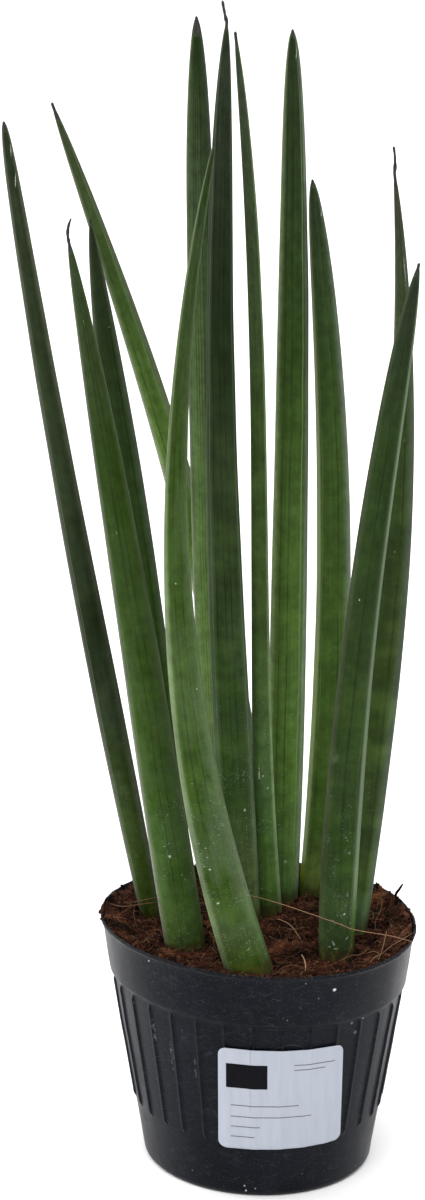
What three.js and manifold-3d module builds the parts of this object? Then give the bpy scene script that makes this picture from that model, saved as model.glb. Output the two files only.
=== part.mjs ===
// Cylindrical snake plant in a thin black nursery pot.
// Millimetres, +Z up. The origin is the centre of the pot's underside, the plant faces -Y.
// Pieces: the pot, its adhesive label, the coir soil and twelve separate leaves rooted in it.
import * as THREE from 'three';
import { mergeVertices } from 'three/addons/utils/BufferGeometryUtils.js';
import Module from 'manifold-3d';

const wasm = await Module();
wasm.setup();

// ---------------------------------------------------------------- driving dimensions

const CLEARANCE = 0.3;          // play left between pieces that touch

const POT = {
  height: 94.8,                 // underside to the top of the rim
  rimRadius: 59.8,              // a 12 cm nursery pot
  baseRadius: 43.2,
  baseEdge: 1.4,                // bevel where the wall meets the underside
  collarLow: 73.8,              // lower edge of the smooth band under the rim
  collarRadius: 56.3,           // outer radius at that edge
  collarStep: 1.2,              // how far the band stands proud of the wall below it
  stepLow: 71.8,                // the inside steps out behind the collar, from here
  stepHigh: 77.8,               // to here
  wall: 1.2,
  floor: 1.6,
  lip: 1.6,                     // depth of the thickened lip
  edge: 0.5,                    // small bevels
};

const RIBS = {
  count: 32,
  turn: -1.0,                   // degrees that the first rib is off the front
  low: 22.8,
  high: 72.4,
  fade: 0.8,                    // height over which a rib starts and stops
  proud: 0.8,
  width: 1.8,
  hollow: 0.3,                  // how far the flat wall between two ribs lies inside the round
};

const DRAINS = { count: 6, radius: 4, circle: 27, sides: 16 };

// The soft pot has sagged: its top has moved over, its rim slopes down to the right, and it is
// twisted, which lifts the rim's back right and front left by half of this and drops the others.
const SAG = { slope: THREE.MathUtils.degToRad(1.2), drift: -2.1, twist: 1.5 };

const LABEL = {
  width: 48.2,
  low: 21.5,
  high: 63.9,
  aside: 10,                    // middle of the label, measured round the wall from the front
  tilt: THREE.MathUtils.degToRad(0.7),
  corner: 3,
  thick: 0.6,
};

const SOIL = {
  level: 89.2,
  edgeRise: 4.2,                // how far the surface climbs towards the wall
  lump: 0.55,                   // height of its lumps
  columns: 40,
  shares: [1, 0.94, 0.84, 0.72, 0.6, 0.48, 0.36, 0.24, 0.12],  // rings of the surface
  socketTop: 0.03,              // the leaves' sockets are cut up to this share of their length
};

// Coarse strands of coir that arch out of the soil and back into it.
const STRANDS = {
  count: 12,
  seed: 41,
  radius: 0.65,
  sides: 5,
  inset: 12,                    // kept this far from the wall
  halfLength: [7, 13],
  rise: 1,
  sunk: 0.6,                    // depth of a strand's two ends
  bend: 0.5,                    // radians that each half turns
};

const LEAF = {
  roundness: 0.86,              // thickness of a leaf over its width
  roundBelow: 4,                // a leaf narrower than this turns round
  point: 1,                     // thickness of the dry point
  threadThickness: 0.8,
  sides: 16,
  rings: 12,
  crowding: 1.5,                // how the rings crowd towards the tip
};

// The channel along a leaf: half its angle, its depth as a share of the radius, and its shoulder
// as shares of those two.
const CHANNEL = { half: 40, sink: 0.16, shoulderAt: 0.55, shoulderSink: 0.6 };

// The buried foot: its length, then rings as [share of the length, share of the leaf's width].
const FOOT = { length: 24, rings: [[1, 0.45], [0.7, 0.8]], end: 0.6 };

// Each leaf: height of its tip, four [x, y] places of its centreline at equal steps of height
// from the soil to the tip (handles of a Bezier curve), four widths at the same steps, the share
// of its length that tapers, how bluntly it does so, and where its channel faces, in degrees
// from the front towards the right. thread is the withered end, as [rise, bend, hook].
const LEAVES = {
  leaf_01: {
    height: 391, path: [[-43.25, 13], [-64.25, 11], [-84.5, 6], [-99.75, 0]],
    widths: [7.75, 10, 8, 7.25], taper: 0.35, blunt: 0.38, channel: 140,
  },
  leaf_02: {
    height: 393.5, path: [[-2.5, 46], [-13, 50], [-47.5, 46], [-85.75, 40]],
    widths: [11.5, 12.25, 9.75, 9], taper: 0.5, blunt: 0.6, channel: 70,
  },
  leaf_03: {
    height: 354, path: [[-29, -16], [-43.25, -20], [-57, -26], [-74.25, -30]],
    widths: [15, 14.25, 10.5, 6.75], taper: 0.35, blunt: 0.5, channel: -120,
    thread: [8, -0.4, 0.6],
  },
  leaf_04: {
    height: 353, path: [[-33, 36], [-39.75, 36], [-59.5, 32], [-70.75, 30]],
    widths: [10.75, 11.25, 12.75, 12.75], taper: 0.5, blunt: 0.7, channel: 110,
  },
  leaf_05: {
    height: 391, path: [[-5, -37], [-38.75, -44], [-42, -46], [-24.25, -36]],
    widths: [17.25, 12.5, 7, 6.75], taper: 0.4, blunt: 0.6, channel: 0,
  },
  leaf_06: {
    height: 428.5, path: [[-15, 33], [-26.5, 27], [-28, 15], [-32.75, 9]],
    widths: [11, 11, 10.25, 8.75], taper: 0.2, blunt: 0.5, channel: -20,
  },
  leaf_07: {
    height: 428.5, path: [[-8, 16], [-17.25, 8], [-24.75, 0], [-21.75, -6]],
    widths: [13.75, 13.25, 10, 8], taper: 0.25, blunt: 0.6, channel: 5,
    thread: [7, -0.9, -1.6],
  },
  leaf_08: {
    height: 424.5, path: [[2, 23], [-7.75, 14], [-3, 4], [-18.75, -2]],
    widths: [9.75, 6.75, 5.75, 6.75], taper: 0.5, blunt: 0.55, channel: 40,
  },
  leaf_09: {
    height: 424, path: [[7.5, 38], [5.75, 34], [6, 26], [1.25, 18]],
    widths: [11.25, 13.75, 11.75, 13.25], taper: 0.4, blunt: 0.5, channel: 75,
  },
  leaf_10: {
    height: 370, path: [[19.5, 44.5], [26.75, 42], [23.25, 32], [10, 24]],
    widths: [11.75, 13.5, 12, 12.75], taper: 0.45, blunt: 0.5, channel: -75,
  },
  leaf_11: {
    height: 348.5, path: [[27.25, -19], [26.75, -24], [34.25, -26], [47.5, -24]],
    widths: [13, 13.25, 11, 14], taper: 0.4, blunt: 0.7, channel: 72,
  },
  leaf_12: {
    height: 376.5, path: [[35.25, 6], [41.75, 6], [51.75, 4], [38.75, 2]],
    widths: [8.5, 11.75, 10.25, 5.75], taper: 0.6, blunt: 0.48, channel: 60,
    thread: [9, 0, -0.6],
  },
};

const GREENS = {
  leaf_01: 0x5c6b4a, leaf_02: 0x728c45, leaf_03: 0x5f8048, leaf_04: 0x50663f,
  leaf_05: 0x77905f, leaf_06: 0x6a8449, leaf_07: 0x4c6546, leaf_08: 0x5f7d48,
  leaf_09: 0x728c48, leaf_10: 0x6a8746, leaf_11: 0x587048, leaf_12: 0x5f7148,
};

// ---------------------------------------------------------------- solids from rings

// A closed skin through rings of points, all of one length, closed by a point at each end.
function skin(firstPoint, rings, lastPoint) {
  const around = rings[0].length;
  const points = [firstPoint, ...rings.flat(), lastPoint];
  const last = points.length - 1;
  const at = (ring, step) => 1 + ring * around + (step % around);
  const faces = [];
  for (let step = 0; step < around; step += 1) {
    faces.push(0, at(0, step + 1), at(0, step));
    for (let ring = 0; ring + 1 < rings.length; ring += 1) {
      faces.push(at(ring, step), at(ring, step + 1), at(ring + 1, step));
      faces.push(at(ring, step + 1), at(ring + 1, step + 1), at(ring + 1, step));
    }
    faces.push(at(rings.length - 1, step), at(rings.length - 1, step + 1), last);
  }
  const geometry = new THREE.BufferGeometry().setFromPoints(points);
  geometry.setIndex(faces);
  return geometry;
}

function toSolid(geometry) {
  const bare = geometry.clone();
  bare.deleteAttribute('normal');
  bare.deleteAttribute('uv');
  const merged = mergeVertices(bare, 1e-4);
  const vertProperties = Float32Array.from(merged.attributes.position.array);
  const triVerts = Uint32Array.from(merged.index.array);
  return new wasm.Manifold(new wasm.Mesh({ numProp: 3, vertProperties, triVerts }));
}

// The largest body of a solid, without the scraps that a cut leaves loose.
function largestBody(solid) {
  const bodies = solid.decompose();
  return bodies.reduce((best, body) => (body.volume() > best.volume() ? body : best));
}

function toGeometry(solid) {
  const mesh = solid.getMesh();
  const geometry = new THREE.BufferGeometry();
  geometry.setAttribute('position', new THREE.BufferAttribute(mesh.vertProperties, 3));
  geometry.setIndex(new THREE.BufferAttribute(mesh.triVerts, 1));
  return geometry;
}

// ---------------------------------------------------------------- pot

// A point of the upright pot, carried along by the sag of its soft wall.
function settle(point) {
  const held = THREE.MathUtils.clamp(point.z / POT.collarLow, 0, 1);
  const twist = SAG.twist * point.x * point.y / POT.rimRadius ** 2;
  return new THREE.Vector3(
    point.x + SAG.drift * (point.z / POT.height),
    point.y,
    point.z + (twist - point.x * Math.tan(SAG.slope)) * held,
  );
}

const polar = (radius, angle, z) => new THREE.Vector3(
  radius * Math.sin(angle),
  -radius * Math.cos(angle),
  z,
);

// Outer radius of the plain wall below the collar.
function wallRadius(z) {
  const top = POT.collarRadius - POT.collarStep;
  return POT.baseRadius + (top - POT.baseRadius) * (z / POT.collarLow);
}

// Outer radius of the collar, which flares on to the rim.
function collarRadius(z) {
  const share = (z - POT.collarLow) / (POT.height - POT.collarLow);
  return POT.collarRadius + (POT.rimRadius - POT.collarRadius) * share;
}

// Inner radius of the pot, a wall's thickness inside the thinner of the two.
const innerRadius = (z) => (z < POT.collarLow ? wallRadius(z) : collarRadius(z)) - POT.wall;

// The pot's profile from the middle of its underside, over the rim, to the middle of its floor.
// Each row is [radius, z, share of the ribs' height].
function potProfile() {
  const { height, rimRadius, baseEdge, collarLow, edge, stepLow, stepHigh } = POT;
  const { low, high, fade } = RIBS;
  return [
    [POT.baseRadius - baseEdge, 0, 0],
    [wallRadius(baseEdge), baseEdge, 0],
    [wallRadius(low), low, 0],
    [wallRadius(low + fade), low + fade, 1],
    [wallRadius(high - fade), high - fade, 1],
    [wallRadius(high), high, 0],
    [wallRadius(collarLow) + POT.collarStep / 2, collarLow - edge, 0],
    [collarRadius(collarLow + edge), collarLow + edge, 0],
    [rimRadius - edge, height - POT.lip, 0],
    [rimRadius, height - edge, 0],
    [rimRadius - edge, height, 0],
    [rimRadius - POT.wall, height - edge, 0],
    [innerRadius(stepHigh), stepHigh, 0],
    [innerRadius(stepLow), stepLow, 0],
    [innerRadius(POT.floor), POT.floor, 0],
  ];
}

function makePot() {
  const columns = [];
  for (let rib = 0; rib < RIBS.count; rib += 1) {
    const middle = THREE.MathUtils.degToRad(RIBS.turn + rib * 360 / RIBS.count);
    const half = RIBS.width / 2 / wallRadius(RIBS.high);
    columns.push([middle - half, 0], [middle, RIBS.proud], [middle + half, 0]);
  }
  const rings = potProfile().map(([radius, z, ribs]) => columns.map(
    ([angle, proud]) => settle(polar(radius + proud * ribs, angle, z)),
  ));
  const under = new THREE.Vector3(0, 0, 0);
  const inside = new THREE.Vector3(0, 0, POT.floor);
  let solid = toSolid(skin(under, rings, inside));
  for (let drain = 0; drain < DRAINS.count; drain += 1) {
    const angle = (drain + 0.5) * 2 * Math.PI / DRAINS.count;
    const { radius, sides } = DRAINS;
    const bore = new THREE.CylinderGeometry(radius, radius, POT.floor * 4, sides);
    bore.rotateX(Math.PI / 2);
    const at = polar(DRAINS.circle, angle, 0);
    bore.translate(at.x, at.y, at.z);
    solid = solid.subtract(toSolid(bore));
  }
  return toGeometry(solid);
}

// ---------------------------------------------------------------- label

// The sheet is wrapped on the ribs. It is a row of four-point columns, shorter at its two ends,
// which rounds the corners.
function makeLabel() {
  const inner = RIBS.proud + CLEARANCE;
  const outer = inner + LABEL.thick;
  const half = LABEL.width / 2;
  const flat = LABEL.width - 2 * LABEL.corner;
  const flatPieces = 12;
  const cornerShares = [0, 0.13, 0.5, 1];
  const offsets = cornerShares.map((share) => -half + LABEL.corner * share);
  for (let piece = 1; piece < flatPieces; piece += 1) {
    offsets.push(-half + LABEL.corner + flat * piece / flatPieces);
  }
  offsets.push(...cornerShares.map((share) => half - LABEL.corner * share).reverse());
  const rings = offsets.map((offset) => {
    const into = Math.max(0, Math.abs(offset) - (half - LABEL.corner));
    const cut = LABEL.corner - Math.sqrt(Math.max(0, LABEL.corner ** 2 - into ** 2));
    const low = LABEL.low + cut + offset * Math.tan(LABEL.tilt);
    const high = low + LABEL.high - LABEL.low - 2 * cut;
    const arc = LABEL.aside + offset;
    const place = (z, proud) => {
      const radius = wallRadius(z) + proud;
      return settle(polar(radius, arc / radius, z));
    };
    return [place(low, inner), place(high, inner), place(high, outer), place(low, outer)];
  });
  const middle = (ring) => ring
    .reduce((sum, point) => sum.add(point), new THREE.Vector3())
    .divideScalar(ring.length);
  return skin(middle(rings[0]), rings, middle(rings[rings.length - 1]));
}

// ---------------------------------------------------------------- leaves

// Outline of a leaf's section, from -1 to 1 across its width, as [across, back] pairs:
// a circle with a shallow channel sunk between two crisp margins.
function leafSection(facing) {
  const { half, sink, shoulderAt, shoulderSink } = CHANNEL;
  const spans = LEAF.sides - 4;
  const section = [[0, sink], [half * shoulderAt, sink * shoulderSink]];
  for (let span = 0; span <= spans; span += 1) {
    section.push([half + span * (360 - 2 * half) / spans, 0]);
  }
  section.push([-half * shoulderAt, sink * shoulderSink]);
  const outline = section.map(([angle, sunk]) => {
    const turn = THREE.MathUtils.degToRad(angle + facing - 90);
    return [Math.cos(turn) * (1 - sunk), Math.sin(turn) * (1 - sunk)];
  });
  const across = outline.map(([value]) => value);
  const least = Math.min(...across);
  const most = Math.max(...across);
  return outline.map(([value, back]) => [(2 * value - least - most) / (most - least), back]);
}

function leafCurve(leaf) {
  const low = SOIL.level;
  const points = leaf.path.map(([x, y], step) => (
    new THREE.Vector3(x, y, low + (leaf.height - low) * step / 3)
  ));
  return new THREE.CubicBezierCurve3(...points);
}

// Width at share t of the length: a cubic through the four stated widths, closed at the tip.
function leafWidth(leaf, t) {
  const stations = [0, 1 / 3, 2 / 3, 1];
  let width = 0;
  stations.forEach((station, index) => {
    let term = leaf.widths[index];
    for (const other of stations) {
      if (other !== station) term *= (t - other) / (station - other);
    }
    width += term;
  });
  const left = Math.min(1, (1 - t) / leaf.taper);
  return Math.max(LEAF.point, width * (1 - (1 - left) ** 2) ** leaf.blunt);
}

// One ring of the leaf's skin, square to its centreline and level from side to side.
function leafRing(leaf, centre, along, width) {
  const side = new THREE.Vector3(1, 0, 0).addScaledVector(along, -along.x).normalize();
  const back = new THREE.Vector3().crossVectors(along, side);
  const full = Math.min(1, width / LEAF.roundBelow);
  const round = THREE.MathUtils.lerp(1, LEAF.roundness, full);
  return leafSection(leaf.channel).map(([across, behind]) => centre.clone()
    .addScaledVector(side, across * width / 2)
    .addScaledVector(back, behind * width / 2 * round));
}

// The buried foot narrows to a rounded end. grow widens it, for the socket in the soil.
function footRings(leaf, grow) {
  const curve = leafCurve(leaf);
  const root = curve.getPoint(0);
  const along = curve.getTangent(0);
  const rings = FOOT.rings.map(([depth, width]) => leafRing(
    leaf,
    root.clone().addScaledVector(along, -FOOT.length * depth),
    along,
    leafWidth(leaf, 0) * width + 2 * grow,
  ));
  const end = root.clone().addScaledVector(along, -FOOT.length - FOOT.end - grow);
  return { rings, end };
}

function makeLeaf(leaf) {
  const curve = leafCurve(leaf);
  const { rings, end } = footRings(leaf, 0);
  for (let ring = 0; ring <= LEAF.rings; ring += 1) {
    const t = 1 - (1 - ring / LEAF.rings) ** LEAF.crowding;
    rings.push(leafRing(leaf, curve.getPoint(t), curve.getTangent(t), leafWidth(leaf, t)));
  }
  const tip = curve.getPoint(1);
  const heading = curve.getTangent(1);
  let last = tip.clone().addScaledVector(heading, LEAF.point);
  if (leaf.thread) {
    const [rise, bend, hook] = leaf.thread;
    const thread = new THREE.QuadraticBezierCurve3(
      tip,
      tip.clone().add(new THREE.Vector3(bend * 2 - hook / 2, 0, rise / 2)),
      tip.clone().add(new THREE.Vector3(hook, 0, rise)),
    );
    for (const share of [0.35, 0.7, 1]) {
      const centre = thread.getPoint(share);
      rings.push(leafRing(leaf, centre, thread.getTangent(share), LEAF.threadThickness));
    }
    last = thread.getPoint(1).addScaledVector(thread.getTangent(1), LEAF.threadThickness / 2);
  }
  return skin(end, rings, last);
}

// ---------------------------------------------------------------- soil

// Height of the lumpy surface over a point of the upright pot.
function soilHeight(x, y) {
  const out = Math.hypot(x, y) / innerRadius(SOIL.level);
  const lumps = Math.sin(x * 0.31 + 1.2) * Math.cos(y * 0.27 - 0.4)
    + 0.6 * Math.sin(x * 0.63 - y * 0.52 + 2);
  return SOIL.level + SOIL.edgeRise * out ** 6 + SOIL.lump * lumps;
}

// Outer radius of the soil, clear of the pot's wall.
const soilRadius = (z) => innerRadius(z) - RIBS.hollow - CLEARANCE;

function soilBody() {
  const ringAt = (radius, heightAt) => {
    const ring = [];
    for (let column = 0; column < SOIL.columns; column += 1) {
      const flat = polar(radius, column * 2 * Math.PI / SOIL.columns, 0);
      ring.push(settle(new THREE.Vector3(flat.x, flat.y, heightAt(flat.x, flat.y))));
    }
    return ring;
  };
  const low = POT.floor + CLEARANCE;
  const rings = [low, POT.stepLow, POT.stepHigh].map((z) => ringAt(soilRadius(z), () => z));
  const brim = soilRadius(SOIL.level + SOIL.edgeRise);
  rings.push(...SOIL.shares.map((share) => ringAt(brim * share, soilHeight)));
  const under = new THREE.Vector3(0, 0, low);
  const top = settle(new THREE.Vector3(0, 0, soilHeight(0, 0)));
  return toSolid(skin(under, rings, top));
}

// A repeatable draw between 0 and 1.
function seededDraw(seed) {
  let state = seed;
  return () => {
    state = (state * 16807) % 2147483647;
    return state / 2147483647;
  };
}

function soilStrand(draw) {
  const reach = innerRadius(SOIL.level) - STRANDS.inset;
  const angle = draw() * 2 * Math.PI;
  const middle = polar(reach * Math.sqrt(draw()), angle, 0);
  const heading = draw() * 2 * Math.PI;
  const length = THREE.MathUtils.lerp(...STRANDS.halfLength, draw());
  const points = [-1, -0.5, 0, 0.5, 1].map((share) => {
    const turn = heading + share * STRANDS.bend;
    const x = middle.x + Math.cos(turn) * length * share;
    const y = middle.y + Math.sin(turn) * length * share;
    const rise = THREE.MathUtils.lerp(STRANDS.rise, -STRANDS.sunk, share ** 2);
    return settle(new THREE.Vector3(x, y, soilHeight(x, y) + rise));
  });
  const extrudePath = new THREE.CatmullRomCurve3(points);
  const outline = new THREE.Shape();
  outline.absarc(0, 0, STRANDS.radius, 0, 2 * Math.PI);
  const round = new THREE.Shape(outline.getPoints(STRANDS.sides).slice(0, STRANDS.sides));
  return toSolid(new THREE.ExtrudeGeometry(round, { steps: STRANDS.sides, extrudePath }));
}

function makeSoil() {
  const draw = seededDraw(STRANDS.seed);
  let solid = soilBody();
  for (let strand = 0; strand < STRANDS.count; strand += 1) {
    solid = solid.add(soilStrand(draw));
  }
  const grow = CLEARANCE / LEAF.roundness;
  for (const leaf of Object.values(LEAVES)) {
    const { rings, end } = footRings(leaf, grow);
    const curve = leafCurve(leaf);
    for (const t of [0, SOIL.socketTop]) {
      const width = leafWidth(leaf, t) + 2 * grow;
      rings.push(leafRing(leaf, curve.getPoint(t), curve.getTangent(t), width));
    }
    const above = curve.getPoint(SOIL.socketTop * 1.2);
    solid = solid.subtract(toSolid(skin(end, rings, above)));
  }
  return toGeometry(largestBody(solid));
}

// ---------------------------------------------------------------- the plant

const plant = new THREE.Group();
plant.name = 'potted_snake_plant';

function addPiece(name, geometry, color, roughness) {
  const material = new THREE.MeshStandardMaterial({ color, roughness, metalness: 0 });
  const mesh = new THREE.Mesh(geometry, material);
  mesh.name = name;
  plant.add(mesh);
}

addPiece('pot', makePot(), 0x2b2c2f, 0.45);
addPiece('label', makeLabel(), 0xe8eaf0, 0.5);
addPiece('soil', makeSoil(), 0x4a2f26, 0.95);
for (const [name, leaf] of Object.entries(LEAVES)) {
  addPiece(name, makeLeaf(leaf), GREENS[name], 0.55);
}

export default plant;
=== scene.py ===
"""Looks of the potted cylindrical snake plant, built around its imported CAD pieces.

Lengths are in millimetres until a mesh is made, and the row frame is the CAD's: the origin under
the middle of the pot, +Z up, the front towards -Y.
"""

import math

import bpy
import numpy as np
from mathutils import Matrix, Vector


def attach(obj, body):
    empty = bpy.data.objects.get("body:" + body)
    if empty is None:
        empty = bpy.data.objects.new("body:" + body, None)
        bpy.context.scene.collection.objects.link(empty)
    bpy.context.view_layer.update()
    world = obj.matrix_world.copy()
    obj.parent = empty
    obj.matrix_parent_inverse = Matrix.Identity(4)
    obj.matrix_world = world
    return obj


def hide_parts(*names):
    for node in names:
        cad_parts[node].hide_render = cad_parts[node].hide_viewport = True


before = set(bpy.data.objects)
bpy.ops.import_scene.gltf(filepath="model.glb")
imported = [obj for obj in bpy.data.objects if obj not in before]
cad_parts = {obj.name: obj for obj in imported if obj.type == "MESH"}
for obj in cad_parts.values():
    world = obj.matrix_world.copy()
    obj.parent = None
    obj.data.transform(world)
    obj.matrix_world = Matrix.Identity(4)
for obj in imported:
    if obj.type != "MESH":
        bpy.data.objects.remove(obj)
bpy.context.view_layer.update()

MM = 0.001
TAU = 2 * math.pi
ROOT = "root"

# ------------------------------------------------------------------ sizes shared with the CAD

POT = dict(
    height=94.8, rim=59.8, base=43.2, collar_low=73.8, collar=56.3, collar_step=1.2,
    step_low=71.8, step_high=77.8, wall=1.2, floor=1.6, lip=1.6,
)
RIBS = dict(count=32, turn=-1.0, low=22.8, high=72.4, fade=1.6, proud=0.85, half=1.0)
DRAINS = dict(count=6, radius=4.0, circle=27.0)
SAG = dict(slope=math.tan(math.radians(1.2)), drift=-2.1, twist=1.5)
LABEL = dict(width=48.2, low=21.5, high=63.9, aside=10.0, tilt=math.tan(math.radians(0.7)),
             corner=3.0, back=0.95, thick=0.35)
SOIL = dict(level=89.2, edge_rise=4.2, lump=0.55, hollow=0.3, clearance=0.3)
ROUNDNESS = 0.86
CHANNEL = dict(half=40.0, sink=0.16, power=0.6)
FOOT = dict(length=24.0, rings=((1.0, 0.45), (0.7, 0.8)), end=0.6)

# Specular level of each surface.
GLOSS = dict(leaf=0.045, pot=0.095, paper=0.06, soil=0.06, floor=0.1)
# A leaf's pigment is its seen colour times this, less the share that its shine adds.
LEAF_GAIN = 0.86
LEAF_SHINE = np.array([0.004, 0.003, 0.005])
# Where a leaf's painted flank starts, as the sine of the angle from the front, and how deep the
# soil dips round its foot in mm, unless the leaf says otherwise. A flank's tint is painted light
# and shade: the lighter or darker sides and pale rims that light gives a round leaf.
PAINTED_FLANK, DIP = 0.74, 2.2
# Where the painted flank's tint is full, and the degrees from the front at which it is gone and
# whole.
PAINTED_FLANK_FULL, PAINTED_FLANK_BEHIND = 0.99, (122.0, 94.0)
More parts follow.
